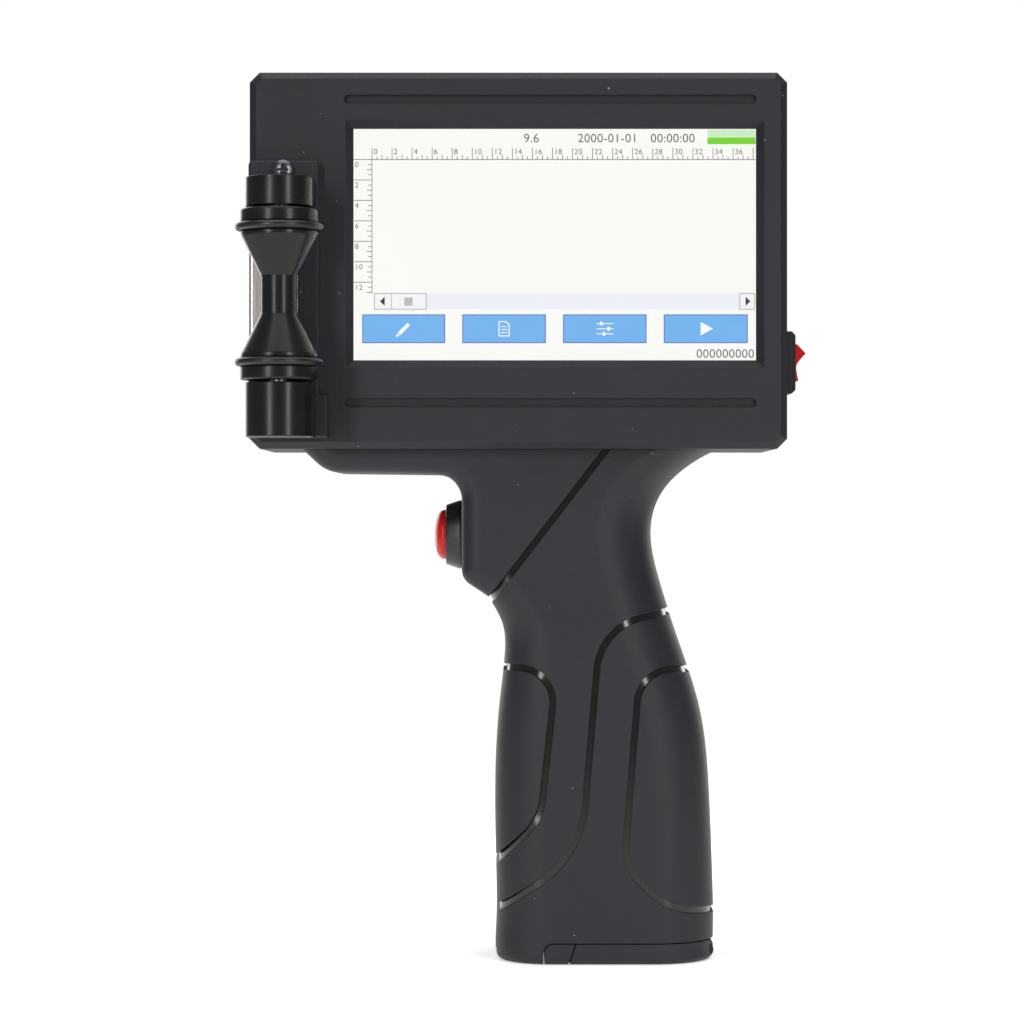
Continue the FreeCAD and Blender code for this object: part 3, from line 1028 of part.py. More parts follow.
# ---------------------------------------------------------------- trigger
def build_trigger():
    """Push button through the grip's front: bezel, cap, return spring, nut and contacts."""
    face = "-trigger_face"
    at = (face, "0", TRIGGER_Z)
    bezel = [("plunger_radius + fit_gap", "-thread_long"), ("thread_radius", "-thread_long"),
             ("thread_radius", "0"), ("button_radius", "0"), ("button_radius", "0.8"),
             ("button_nose", "button_tall"),
             ("cap_radius + fit_gap", "button_tall"), ("cap_radius + fit_gap", "0.6"),
             ("plunger_radius + fit_gap", "0.6")]
    piece("trigger_bezel", turned("bezel", at, "-x", bezel))
    rise = "button_tall + cap_dome"
    cap = [("0", "-8"), ("plunger_radius", "-8"), ("plunger_radius", "button_tall - 1"),
           ("cap_radius", "button_tall - 1"), ("cap_radius", f"{rise} - 1.7"),
           ("cap_radius - 0.6", f"{rise} - 1.0"), ("cap_radius - 1.6", f"{rise} - 0.5"),
           ("cap_radius - 3.4", f"{rise} - 0.1"), ("0", rise)]
    piece("trigger_cap", turned("cap", at, "-x", cap))
    coils = [ring("x", (f"{face} + {8.5 + turn}", "0", TRIGGER_Z), "2.6", "0.4") for turn in range(5)]
    spine = block((f"{face} + 8.4", f"{face} + 12.6"), ("-0.3", "0.3"),
                  (f"{TRIGGER_Z} + 2.3", f"{TRIGGER_Z} + 2.9"))
    piece("trigger_spring", fuse(spine, *coils))
    nut_x = f"{face} + grip_wall + 1.0"
    nut = doc.addObject("Part::Prism", "nut")
    nut.Polygon = 6
    nut.Placement = FreeCAD.Placement(V(), FreeCAD.Rotation(AXES["z"], AXES["x"]))
    bind(nut, X=nut_x, Y="0", Z=TRIGGER_Z, Circumradius="nut_radius", Height="nut_thick")
    hole = rod("x", (f"{nut_x} - 1", "0", TRIGGER_Z), "thread_radius", "6")
    piece("trigger_nut", cut(nut, hole))
    back = f"{face} + thread_long"
    base = rod("x", (f"{back} - 2", "0", TRIGGER_Z), "plunger_radius + fit_gap", "2")
    tabs = [block((back, f"{back} + 4.5"), (low, low + 1.8), grown((TRIGGER_Z, TRIGGER_Z), "0.3"))
            for low in (-3, 1.2)]
    piece("trigger_contacts", fuse(base, *tabs))


def lead(points, radii, radius):
    """Round wire along straight runs and tangent arcs."""
    path = Part.Wire(rounded_path(points, radii))
    start = (points[1] - points[0]).normalize()
    section = Part.Wire(Part.Circle(points[0], start, radius).toShape())
    return path.makePipeShell([section], True, False)


def build_leads():
    """Leads of the trigger and of the battery, up through the box floor to the board's plugs."""
    wire = 0.6
    high = worth("grip_height")
    plug_z = worth(f"{BOARD_Z[0]} + 0.8")
    plug_y = worth(f"{BOARD_BACK} + 1.8")
    tab_x = worth("-trigger_face + thread_long + 4.5")
    tab_z = worth(TRIGGER_Z)
    plate_z = worth("cell_rise + cell_long + 1.6")
    pairs = {"trigger_leads": [], "battery_leads": []}
    for side in (-1, 1):
        x = worth(LEAD_X[0]) + side * 1.4
        points = [V(tab_x, side * 2.1, tab_z), V(x + 1.5, side * 2.1, tab_z), V(x, side * 2.1, tab_z + 9),
                  V(x, plug_y, high + 5), V(x, plug_y, plug_z)]
        pairs["trigger_leads"].append(lead(points, (3, 6, 7), wire))
        x = worth(LEAD_X[1]) + side * 1.4
        points = [V(x, 0, plate_z), V(x, 0, high - 12), V(x, plug_y, high + 5), V(x, plug_y, plug_z)]
        pairs["battery_leads"].append(lead(points, (14, 7), wire))
    for label, wires in pairs.items():
        piece(label, plain(label, Part.makeCompound(wires)))


build_front_cover()
build_rear_cover()
build_guard_plate()
build_cover_screws()
build_screen()
build_board()
build_sockets()
build_roller()
build_roller_carrier()
build_plate_screws()
build_cartridge()
build_cartridge_door()
build_switch()
grip_outside = grip_form()
build_grip(grip_outside)
build_battery_door(grip_outside)
build_battery()
build_trigger()
build_leads()

# ---------------------------------------------------------------- check and write
doc.recompute()
for item in doc.Objects:
    if {"Invalid", "Error"} & set(item.State):
        raise RuntimeError(f"{item.Label} failed: {item.State}")
for label, item in pieces.items():
    if item.Shape.isNull() or not item.Shape.isValid() or not item.Shape.Solids:
        raise RuntimeError(f"{label} has no valid solid")
for label, item in pieces.items():
    item.Shape.exportStep(f"parts/{label}.step")
print(len(pieces), "sub-parts written")
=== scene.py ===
# %% [markdown]
# # A handheld date coder
# The CAD model gives every piece its place and size. This lesson loads it as a fixed frame, and then
# adds what the eye needs: finishes, softer edges, turned pieces with fine profiles and a lit screen.
# Lengths are in metres. +X runs away from the print face, +Y away from the screen, +Z up.

# %% Frame
import json
import math

import bmesh
import bpy
import numpy as np
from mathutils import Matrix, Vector


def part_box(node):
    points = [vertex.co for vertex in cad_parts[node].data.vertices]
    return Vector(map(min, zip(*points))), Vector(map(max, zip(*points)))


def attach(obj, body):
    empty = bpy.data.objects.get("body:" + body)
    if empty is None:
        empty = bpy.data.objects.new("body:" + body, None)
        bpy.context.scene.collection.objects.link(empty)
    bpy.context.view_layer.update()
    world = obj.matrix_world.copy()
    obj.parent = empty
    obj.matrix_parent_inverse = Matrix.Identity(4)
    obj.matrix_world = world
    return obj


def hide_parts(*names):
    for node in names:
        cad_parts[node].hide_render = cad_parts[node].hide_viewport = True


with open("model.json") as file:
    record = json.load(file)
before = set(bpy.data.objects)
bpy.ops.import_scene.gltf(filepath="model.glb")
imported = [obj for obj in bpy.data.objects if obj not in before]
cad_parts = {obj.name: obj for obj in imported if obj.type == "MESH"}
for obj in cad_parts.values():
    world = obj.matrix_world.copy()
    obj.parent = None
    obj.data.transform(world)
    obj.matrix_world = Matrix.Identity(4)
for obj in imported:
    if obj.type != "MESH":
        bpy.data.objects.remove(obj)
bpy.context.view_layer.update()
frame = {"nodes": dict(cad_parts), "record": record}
nodes = frame["nodes"]
MM = 0.001

# %% [markdown]
# ## Camera
# The printer is seen square on from the screen side, by a long lens three quarters of a metre away. The
# camera could be aimed with a tracking constraint, but a plain right angle keeps the box's edges upright.

# %% Camera
VIEW_ACROSS, VIEW_AWAY, VIEW_BELOW_BOX = -0.0222, 0.776, 0.0147
box_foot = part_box("front_cover")[0].z
camera = bpy.data.cameras.new("studio_camera")
camera.sensor_width, camera.lens = 36, 113.6
viewpoint = bpy.data.objects.new("studio_camera", camera)
viewpoint.location = (VIEW_ACROSS, -VIEW_AWAY, box_foot - VIEW_BELOW_BOX)
viewpoint.rotation_euler = (math.radians(90), 0, 0)
bpy.context.scene.collection.objects.link(viewpoint)
bpy.context.scene.camera = viewpoint
print("camera height", round(viewpoint.location.z / MM, 1), "mm")

# %% [markdown]
# ## Surfaces from grids
# Most new pieces here are a grid of points worked out from two numbers, such as how far round and how far
# along. Arrays do the whole grid at once, and each face joins four neighbours. Building face by face with
# the modelling tools would work too, but a formula is easier to read and to change.


# %% New piece
def new_piece(name, points, faces, finishes, body="housing", sharp=32):
    """Object from points and faces: doubles merged, faces turned outwards, edges kept sharp by angle."""
    mesh = bpy.data.meshes.new(name)
    mesh.from_pydata(np.asarray(points, float).tolist(), [], [list(face) for face in faces])
    work = bmesh.new()
    work.from_mesh(mesh)
    bmesh.ops.remove_doubles(work, verts=work.verts, dist=1e-7)
    bmesh.ops.recalc_face_normals(work, faces=work.faces)
    work.to_mesh(mesh)
    work.free()
    mesh.shade_smooth()
    mesh.set_sharp_from_angle(angle=math.radians(sharp))
    return placed(name, mesh, finishes, body)


def placed(name, mesh, finishes, body):
    """Object at the origin that shows a mesh and moves with a body."""
    for finish in finishes:
        mesh.materials.append(finish)
    item = bpy.data.objects.new(name, mesh)
    bpy.context.scene.collection.objects.link(item)
    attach(item, body)
    return item


# %% [markdown]
# ## Outlines and turning
# A turned piece needs two steps. First the outline's corners are softened, because a sharp corner never
# catches the light. Then the outline is carried round the axis.


# %% Grids, soft corners and turning
def grid_faces(rows, columns, close_rows=False):
    """Four-cornered faces between neighbours of a grid whose columns close in a ring: corner (r, c) joins
    (r, c + 1), (r + 1, c + 1) and (r + 1, c)."""
    first = np.arange(rows * columns).reshape(rows, columns)
    beside = np.roll(first, -1, axis=1)
    corners = np.stack([first, beside, np.roll(beside, -1, axis=0), np.roll(first, -1, axis=0)], axis=-1)
    return corners[:rows if close_rows else -1].reshape(-1, 4)


def soft_corners(corners, radius, steps=5):
    """Closed outline with each corner replaced by a short curve: start and end lie a radius before and
    after the corner, or less on a short side, and the points between lean towards the corner."""
    corners = np.asarray(corners, float)
    before, after = np.roll(corners, 1, axis=0) - corners, np.roll(corners, -1, axis=0) - corners
    lengths = [np.linalg.norm(side, axis=1, keepdims=True) for side in (before, after)]
    reach = np.minimum(radius, 0.45 * np.minimum(*lengths))
    start, end = corners + before / lengths[0] * reach, corners + after / lengths[1] * reach
    share = np.linspace(0, 1, steps)[None, :, None]
    curve = ((1 - share) ** 2 * start[:, None] + 2 * share * (1 - share) * corners[:, None]
             + share ** 2 * end[:, None])
    return curve.reshape(-1, 2)


def turned(profile, centre, axis="z", steps=96):
    """Points of a turned piece: each (radius, height) of the outline goes round the axis, so
    across = radius times cosine and sine of the angle, along = height."""
    angle = np.linspace(0, 2 * np.pi, steps, endpoint=False)
    radius, height = profile[:, :1], profile[:, 1:]
    along = height + 0 * angle
    one, two = radius * np.cos(angle), radius * np.sin(angle)
    order = {"z": (one, two, along), "-x": (-along, one, two)}[axis]
    return (np.stack(order, axis=-1) + np.asarray(centre)).reshape(-1, 3), len(profile), steps


SQUARE = [(0, 0), (1, 0), (1, 1), (0, 1)]
print("a square with soft corners has", len(soft_corners(SQUARE, 0.1)), "points")

# %% [markdown]
# ## A wire for shader maths
# A finish is a small calculation that is done at each point of a surface. Written as nodes it soon fills
# the screen, so a Wire stands for one socket, and `wire * 2 + 1` adds the Math nodes. Every other node
# comes from one method, which sets the node up first and then fills or links its sockets.


# %% Wire
class Wire:
    """One value on its way through a material."""

    def __init__(self, tree, socket=None):
        self.tree, self.socket = tree, socket

    def add(self, kind, settings=(), sockets=(), out=0):
        """Node of a kind: settings first, then each socket gets a number, a colour or a wire."""
        node = self.tree.nodes.new(kind)
        for name, value in dict(settings).items():
            setattr(node, name, value)
        for name, value in dict(sockets).items():
            if isinstance(value, Wire):
                self.tree.links.new(value.socket, node.inputs[name])
            else:
                node.inputs[name].default_value = value
        return Wire(self.tree, node.outputs[out])

    def twin(self, out):
        """Another output of the same node."""
        return Wire(self.tree, self.socket.node.outputs[out])

    def sum_of(self, operation, first, second=0.0):
        """Math node on one or two numbers or wires."""
        return self.add("ShaderNodeMath", {"operation": operation}, {0: first, 1: second})

    def __add__(self, other):
        return self.sum_of("ADD", self, other)

    def __sub__(self, other):
        return self.sum_of("SUBTRACT", self, other)

    def __rsub__(self, other):
        return self.sum_of("SUBTRACT", other, self)

    def __mul__(self, other):
        return self.sum_of("MULTIPLY", self, other)

    def __gt__(self, other):
        return self.sum_of("GREATER_THAN", self, other)

    def __lt__(self, other):
        return self.sum_of("LESS_THAN", self, other)

    __radd__, __rmul__ = __add__, __mul__


print("a wire's plain methods are", [name for name in vars(Wire) if not name.startswith("__")])

# %% [markdown]
# ## Patterns
# Colours are easier to judge by the numbers that a screen shows, so they are given that way and turned
# into amounts of light. The patterns are made once here, and each finish mixes them in its own way.


# %% Colours and patterns
def linear(value):
    """Amount of light for a screen number: a straight start, then a power of 2.4."""
    share = value / 255
    return share / 12.92 if value < 10.3 else ((share + 0.055) / 1.055) ** 2.4


def colour(red, green, blue):
    """Linear colour from screen numbers of 0 to 255."""
    return (linear(red), linear(green), linear(blue), 1)


def shaded(shade, factor, lift=0.0):
    """A colour made lighter or darker: each part times a factor plus a lift, at most 1."""
    return (*[min(1.0, v * factor + lift) for v in shade[:3]], 1)


def noise(place, scale, detail=2.0):
    """Cloudy pattern from 0 to 1 with so many lumps to the metre."""
    return place.add("ShaderNodeTexNoise", {}, {"Vector": place, "Scale": scale, "Detail": detail})


def stretched(place, x, y, z):
    """The same place measured with a different ruler along each axis."""
    return place.add("ShaderNodeMapping", {}, {"Vector": place, "Scale": (x, y, z)})


def between(share, low, high):
    """Colour part of the way from one to another."""
    return share.add("ShaderNodeMix", {"data_type": "RGBA"}, {0: share, 6: low, 7: high}, 2)


def specks(place, spacing, size, share):
    """1 inside small round specks, one in some of the cells of a scattered pattern, else 0."""
    cell = place.add("ShaderNodeTexVoronoi", {}, {"Vector": place, "Scale": 1 / spacing})
    chance = cell.add("ShaderNodeSeparateColor", {}, {0: cell.twin(1)})
    return (cell < size / spacing) * (chance < share)


def relief(height, depth, edge=0.0):
    """Surface direction over a height pattern, on edges rounded by a small radius."""
    sockets = {"Strength": 1.0, "Distance": depth, "Height": height}
    if edge:
        sockets["Normal"] = height.add("ShaderNodeBevel", {"samples": 4}, {"Radius": edge})
    return height.add("ShaderNodeBump", {}, sockets)


def new_finish(name, **constants):
    """Material with its shader's plain sockets set, and a wire with the place on the piece."""
    material = bpy.data.materials.new(name)
    material.use_nodes = True
    shader = material.node_tree.nodes["Principled BSDF"]
    for socket, value in constants.items():
        shader.inputs[socket.replace("_", " ")].default_value = value
    return material, shader, Wire(material.node_tree).add("ShaderNodeTexCoord", out="Object")


def feed(shader, **wires):
    """Links wires to the shader's sockets."""
    for socket, wire in wires.items():
        wire.tree.links.new(wire.socket, shader.inputs[socket.replace("_", " ")])


print("mid grey", [round(v, 3) for v in colour(128, 128, 128)])

# %% [markdown]
# ## Moulded plastic
# The case, the grip and most small parts are injection moulded. The steel mould is spark eroded, which
# leaves a fine even grain of about a third of a millimetre. The grain scatters the light, so the plastic
# looks soft and a little grey. A picture of grain would stretch on the curved grip, and a calculated one
# doesn't. Slow clouds of shade and gloss come from the flow of the plastic, and a few specks are dust.

# %% Moulded finishes
FINISH = {}


def moulded(slot, shade, rough, grain=0.00035, depth=0.00004, dust=0.0, edge=0.0003, gloss=0.5):
    """Moulded plastic: base shade with clouds, grain as relief, dust as pale specks."""
    material, shader, place = new_finish(slot, Specular_IOR_Level=gloss)
    clouds = noise(place, 35.0, 3.0)
    fine = noise(place, 1 / grain, 3.0)
    base = between(clouds * 0.5 + fine * 0.5, shaded(shade, 0.65), shaded(shade, 1.6, 0.002))
    if dust:
        fallen = specks(place, 0.0045, 0.00018, dust) + specks(place, 0.012, 0.0003, dust)
        base = between(fallen, base, shaded(shade, 1, 0.16))
    feed(shader, Base_Color=base, Roughness=clouds * 0.14 + fine * 0.06 + (rough - 0.1),
         Normal=relief(fine, depth, edge))
    FINISH[slot] = material
    return material


moulded("case_plastic", colour(22, 22, 29), 0.52, depth=6e-5, dust=0.4, gloss=0.4)
moulded("switch_black", colour(24, 24, 25), 0.34, grain=6e-4, depth=1e-5, dust=0.2)
moulded("holder_plastic", colour(58, 58, 60), 0.55)
moulded("ink_body", colour(34, 35, 38), 0.3, grain=5e-4, depth=1e-5)
moulded("chip_black", colour(40, 40, 42), 0.6, grain=2e-4, depth=2e-5, edge=1e-4)
moulded("plug_white", colour(222, 218, 205), 0.45, grain=4e-4, depth=1e-5, edge=2e-4)
moulded("signal_red", colour(178, 16, 13), 0.3, grain=8e-4, depth=4e-6, edge=2e-4, gloss=0.35)
moulded("lead_red", colour(170, 24, 20), 0.42, grain=3e-4, depth=1e-5, edge=0)
moulded("lead_black", colour(30, 30, 31), 0.45, grain=3e-4, depth=1e-5, edge=0)
polished = moulded("polished_groove", colour(16, 16, 17), 0.16, grain=1.2e-3, depth=6e-6, dust=0.3, edge=0)
print(len(FINISH), "moulded finishes")

# %% [markdown]
# ## Turned plastic and rubber
# The guide roller and its blocks are turned or moulded in a smoother, glossier black, so they show long
# soft reflections. The lathe leaves rings that only tilt the light a little. Rubber is duller, with bloom:
# a grey film in clouds.


# %% Turned and rubber finishes
def lathe_turned(slot, shade, rough, pitch, depth, metal=0.0, edge=0.0002):
    """Rings round the upright axis: a wave along Z, broken up by a faint noise."""
    material, shader, place = new_finish(slot, Metallic=metal, Specular_IOR_Level=0.35)
    height = place.add("ShaderNodeSeparateXYZ", {}, {0: place}, "Z")
    rings = height.sum_of("SINE", height * (2 * math.pi / pitch) + noise(place, 60.0) * 4.0)
    clouds = noise(place, 90.0, 4.0)
    base = between(clouds, shade, shaded(shade, 1.4, 0.001))
    base = between(specks(place, 0.006, 0.0001, 0.3), base, colour(120, 120, 122))
    feed(shader, Base_Color=base, Roughness=clouds * 0.1 + (rough - 0.05),
         Normal=relief(rings * 0.5 + noise(place, 1500.0) * 0.5, depth, edge))
    FINISH[slot] = material


lathe_turned("roller_plastic", colour(13, 13, 15), 0.27, pitch=4e-4, depth=4e-6)
lathe_turned("bearing_steel", colour(190, 190, 194), 0.22, pitch=3e-4, depth=3e-6, metal=1.0, edge=0)
lathe_turned("encoder_metal", colour(175, 176, 180), 0.3, pitch=2e-4, depth=2e-6, metal=1.0, edge=0)


def rubbery(slot, shade, rough, grain, depth):
    """Dull rubber or foam: fine pores as relief, a pale bloom in clouds."""
    material, shader, place = new_finish(slot)
    clouds, pores = noise(place, 120.0, 4.0), noise(place, 1 / grain, 2.0)
    bloom = shaded(shade, 1.8, 0.001)
    feed(shader, Base_Color=between(clouds * clouds, shade, bloom), Roughness=clouds * 0.2 + (rough - 0.1),
         Normal=relief(pores, depth))
    FINISH[slot] = material


rubbery("ring_rubber", colour(13, 13, 14), 0.36, grain=3e-4, depth=6e-6)
rubbery("foam", colour(44, 44, 46), 0.9, grain=4e-4, depth=1.2e-4)
print(len(FINISH), "finishes so far")

# %% [markdown]
# ## Metals
# The guard under the roller is brushed stainless steel: a belt leaves fine scratches in one direction.
# Squeezing a noise along that direction draws them, and the same pattern feeds gloss and relief. Screws,
# springs and contacts use it with finer or rounder scratches.


# %% Metal finishes
def brushed(slot, shade, rough, ruler=(2500, 60, 2500), depth=0.000006, edge=0.0001):
    """Metal with scratches along the axis where the ruler is short."""
    material, shader, place = new_finish(slot, Metallic=1.0)
    scratches, clouds = noise(stretched(place, *ruler), 1.0, 4.0), noise(place, 70.0, 3.0)
    feed(shader, Base_Color=between(scratches * 0.6 + clouds * 0.4, shade, shaded(shade, 1.25, 0.01)),
         Roughness=scratches * 0.22 + clouds * 0.1 + (rough - 0.16), Normal=relief(scratches, depth, edge))
    FINISH[slot] = material


EVEN = (900, 900, 900)
brushed("guard_steel", colour(226, 218, 214), 0.26, (2600, 2600, 55))
brushed("spring_steel", colour(190, 190, 194), 0.3, EVEN, edge=0)
brushed("screw_black", colour(92, 92, 98), 0.26, EVEN, depth=8e-6)
brushed("screw_steel", colour(188, 190, 196), 0.3, EVEN)
brushed("nut_metal", colour(200, 198, 190), 0.28, EVEN)
brushed("socket_metal", colour(190, 192, 196), 0.3, EVEN, depth=1e-6, edge=0)
brushed("contact_brass", colour(214, 178, 92), 0.26, EVEN, edge=0)
brushed("nozzle_gold", colour(222, 182, 110), 0.22, (900, 2500, 60), edge=0)
print(len(FINISH), "finishes so far")

# %% [markdown]
# ## Inner parts
# Few eyes reach them, but the doors open. The board gets tracks under green resist, drawn with squares of
# a stepped pattern. The ribbon has copper lines under amber film, the cells a blue sleeve with a seam, and
# the wrap is a thin film that wrinkles.


# %% Inner finishes
def striped(slot, low, high, rough, ruler, pitch, level, depth):
    """Lines across a ruler's direction: 1 where a wave is above a level."""
    material, shader, place = new_finish(slot, Coat_Weight=0.2)
    measured = stretched(place, *ruler)
    ruled = measured.add("ShaderNodeSeparateXYZ", {}, {0: measured}, "X")
    wave = ruled.sum_of("SINE", ruled * (2 * math.pi / pitch) + noise(place, 40.0) * 0.4)
    lines = wave > level
    clouds = noise(place, 120.0, 3.0)
    feed(shader, Base_Color=between(lines * 0.8 + clouds * 0.2, low, high),
         Roughness=clouds * 0.15 + (rough - 0.07), Normal=relief(lines * 0.5 + clouds * 0.5, depth))
    FINISH[slot] = material


board, ribbon = (colour(22, 84, 48), colour(40, 120, 70)), (colour(176, 104, 30), colour(206, 140, 60))
sleeve, film = (colour(28, 80, 160), colour(36, 92, 176)), (colour(40, 96, 150), colour(70, 130, 180))
striped("board_green", *board, 0.35, (1, 0, 0), pitch=1.6e-3, level=0.3, depth=4e-5)
striped("ribbon_amber", *ribbon, 0.35, (1, 0, 0), pitch=1e-3, level=0.0, depth=2e-5)
striped("cell_blue", *sleeve, 0.3, (0, 0, 1), pitch=0.02, level=0.96, depth=1e-5)
striped("wrap_film", *film, 0.22, (1, 1, 0.3), pitch=6e-3, level=0.6, depth=8e-5)

material, shader, place = new_finish("screen_glass", Transmission_Weight=1.0, IOR=1.46, Roughness=0.0)
smudges = noise(place, 90.0, 4.0)
feed(shader, Base_Color=between(smudges, (0.97, 0.98, 0.98, 1), (1, 1, 1, 1)),
     Roughness=(smudges > 0.62) * smudges * 0.02)
FINISH["screen_glass"] = material
moulded("panel_light", colour(206, 208, 206), 0.35, 0.0004, 0.000005)
print(len(FINISH), "finishes in all")

# %% [markdown]
# ## Dressing the CAD pieces
# The record names a material slot for each piece, and the finishes above carry the same names, so that one
# loop dresses them all. Their meshes stay as CAD made them.

# %% Finishes on the CAD pieces
for row in frame["record"]["subparts"]:
    for place_on_piece in nodes[row["node"]].material_slots:
        place_on_piece.material = FINISH[row["material_slot"]]
print(len(nodes), "pieces have their finish")
# %% [markdown]
# ## Roller, rings and trigger
# These are turned pieces: half an outline, carried round an axis. A primitive cylinder would have knife
# edges, so each outline is softened at its corners first. The roller narrows to a waist, so that only its
# two rubber rings touch the carton.


# %% Guide roller
def middle_of(node):
    """Middle of a CAD piece's box."""
    low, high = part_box(node)
    return (low + high) / 2


ROLLER = np.array([*middle_of("roller_shaft").xy, middle_of("guide_roller").z])
BORE, HALF_TALL, SOFT = 2.05, 19.5, 0.35  # the outline is (radius, height) in millimetres
half_outline = [(8.5, HALF_TALL), (8.9, 19.1), (8.9, 16.4), (8.2, 16.4), (8.2, 14.4), (8.8, 14.4),
                (8.8, 13.5), (4.1, 4.3)]
mirrored = [(radius, -height) for radius, height in reversed(half_outline)]
outline = [(BORE, HALF_TALL)] + half_outline + mirrored + [(BORE, -HALF_TALL)]
profile = soft_corners(outline, SOFT) * MM
points, rows, steps = turned(profile, ROLLER)
roller = new_piece("turned_roller", points, grid_faces(rows, steps, close_rows=True),
                   [FINISH["roller_plastic"]], "roller")
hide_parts("guide_roller")
print("roller", rows, "by", steps, "points")

# %% [markdown]
# A ring is a circle carried round a circle. Its mould parts at the outside, where a little rubber creeps
# between the halves, so the section is two hundredths of a millimetre thicker in a narrow bump there.

# %% Rubber rings
FLASH, FLASH_WIDE = 0.00002, 0.06
for name in ("upper_o_ring", "lower_o_ring"):
    ring_low, ring_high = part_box(name)
    wire, middle = (ring_high.z - ring_low.z) / 2, (ring_high.z + ring_low.z) / 2
    turn = np.linspace(0, 2 * np.pi, 48, endpoint=False)
    bump = np.exp(-(np.minimum(turn, 2 * np.pi - turn) / FLASH_WIDE) ** 2)
    thick = wire - FLASH + FLASH * bump
    across = (ring_high.x - ring_low.x) / 2 - wire + thick * np.cos(turn)
    section = np.stack([across, thick * np.sin(turn)], axis=1)
    points, rows, steps = turned(section, (ROLLER[0], ROLLER[1], middle), steps=120)
    ring = new_piece("rubber_" + name, points, grid_faces(rows, steps, close_rows=True),
                     [FINISH["ring_rubber"]], "roller", sharp=60)
    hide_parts(name)
    print(ring.name, "wire", round(2 * wire / MM, 2), "mm")

# %% [markdown]
# The trigger is a push button: a collar with a threaded neck that goes through the grip, and a red cap
# with a shallow dome. The thread's crests are part of the same outline, one zigzag to the millimetre.

# %% Trigger
COLLAR_TALL = 0.004
TRIGGER = (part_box("trigger_bezel")[0].x + COLLAR_TALL, *middle_of("trigger_cap").yz)
crests = [(5.95 - 0.35 * (step % 2), -14.6 + 0.5 * step) for step in range(28)]
lip = [(5.95, 0.0), (8.2, 0.0), (8.2, 0.8), (7.1, 4.0), (6.2, 4.0), (6.2, 0.6), (3.9, 0.6)]
collar = soft_corners([(3.9, -15.0), (5.6, -15.0)] + crests + lip, SOFT)
points, rows, steps = turned(collar * MM, TRIGGER, "-x")
bezel = new_piece("trigger_collar", points, grid_faces(rows, steps, close_rows=True),
                  [FINISH["switch_black"]])
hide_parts("trigger_bezel")
swing = np.linspace(0, np.pi / 2, 14)
dome = np.stack([5.9 * np.cos(swing) ** 0.8, 4.5 + 2.2 * np.sin(swing)], axis=1)
stem = np.array([(0, -8.0), (3.3, -8.0), (3.6, -7.7), (3.6, 2.8), (3.6, 3.0), (5.6, 3.0), (5.9, 3.3)])
points, rows, steps = turned(np.concatenate([stem, dome]) * MM, TRIGGER, "-x")
cap = new_piece("trigger_button", points, grid_faces(rows, steps),
                [FINISH["signal_red"]], "trigger")
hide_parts("trigger_cap")
print("trigger axis height", round(TRIGGER[2] / MM, 1), "mm")

# %% [markdown]
# ## Grip shells
# The grip has fine grooves that mark out its finger panels. In the mould they are polished, so their floor
# shines while the skin stays dull. Painting the grooves with a mask would blur their edges, and the CAD
# faces already follow them exactly. So the paths are worked out again here, as straight runs with arcs
# between them, and the distance to a path says which faces are a groove's.

# %% Groove paths
GROOVES = {  # corners seen from the side in millimetres, and the radii that round them
    "middle": ([(30, 85.8), (-1.5, 79.0), (-6.1, 25.8), (-34, 6.8)], (13.3, 24)),
    "front": ([(-34, 69.0), (-11.7, 69.7), (-15.5, 34.0), (-34, 16.0)], (8, 14)),
    "rear": ([(34, 68.3), (7.7, 69.2), (4.0, 23.2), (13.5, 13.4), (34, 10.8)], (8, 11.5, 18)),
    "slant": ([(7, 129.8), (-34, 76.5)], ()),
}
GROOVE_HALF = 0.8


def rounded_run(corners, radii, steps=16):
    """Points along straight runs joined by arcs: an arc touches both runs, so it starts radius divided by
    the tangent of half the corner's angle before the corner."""
    corners = [np.array(corner, float) for corner in corners]
    run = [corners[0]]
    for before, corner, after, radius in zip(corners, corners[1:], corners[2:], radii):
        one, two = [(v - corner) / np.linalg.norm(v - corner) for v in (before, after)]
        half = math.acos(float(one @ two)) / 2
        crest = (one + two) / np.linalg.norm(one + two)
        centre = corner + crest * radius / math.sin(half)
        first, last = corner + one * radius / math.tan(half), corner + two * radius / math.tan(half)
        angles = [math.atan2(*(point - centre)[::-1]) for point in (first, last)]
        turn = (angles[1] - angles[0] + math.pi) % (2 * math.pi) - math.pi
        sweep = angles[0] + np.linspace(0, turn, steps)
        run += list(centre + radius * np.stack([np.cos(sweep), np.sin(sweep)], axis=1))
    return np.array(run + [corners[-1]])


def distance_to(run, spots):
    """Shortest way from each spot to a run of straight pieces, all pieces at once."""
    start, step = run[:-1], np.diff(run, axis=0)
    share = ((spots[:, None] - start) * step).sum(-1) / (step ** 2).sum(-1)
    nearest = start + np.clip(share, 0, 1)[..., None] * step
    return np.linalg.norm(spots[:, None] - nearest, axis=-1).min(axis=1)


print("the front groove has", len(rounded_run(*GROOVES["front"])), "points")

# %% [markdown]
# A CAD piece comes in patches, one for each of its faces, and the points along a border are there twice. A
# copy with equal points merged is one closed skin, so that it can be bevelled or get a second finish.
# Merging alone would spoil the shading of long thin triangles on the round grip, so there each corner
# keeps the direction that it had.


# %% Merged copies
def read(items, name, width=1, kind=float):
    """One property of many mesh items as an array with so many columns."""
    values = np.zeros(len(items) * width, kind)
    items.foreach_get(name, values)
    return values.reshape(-1, width) if width > 1 else values


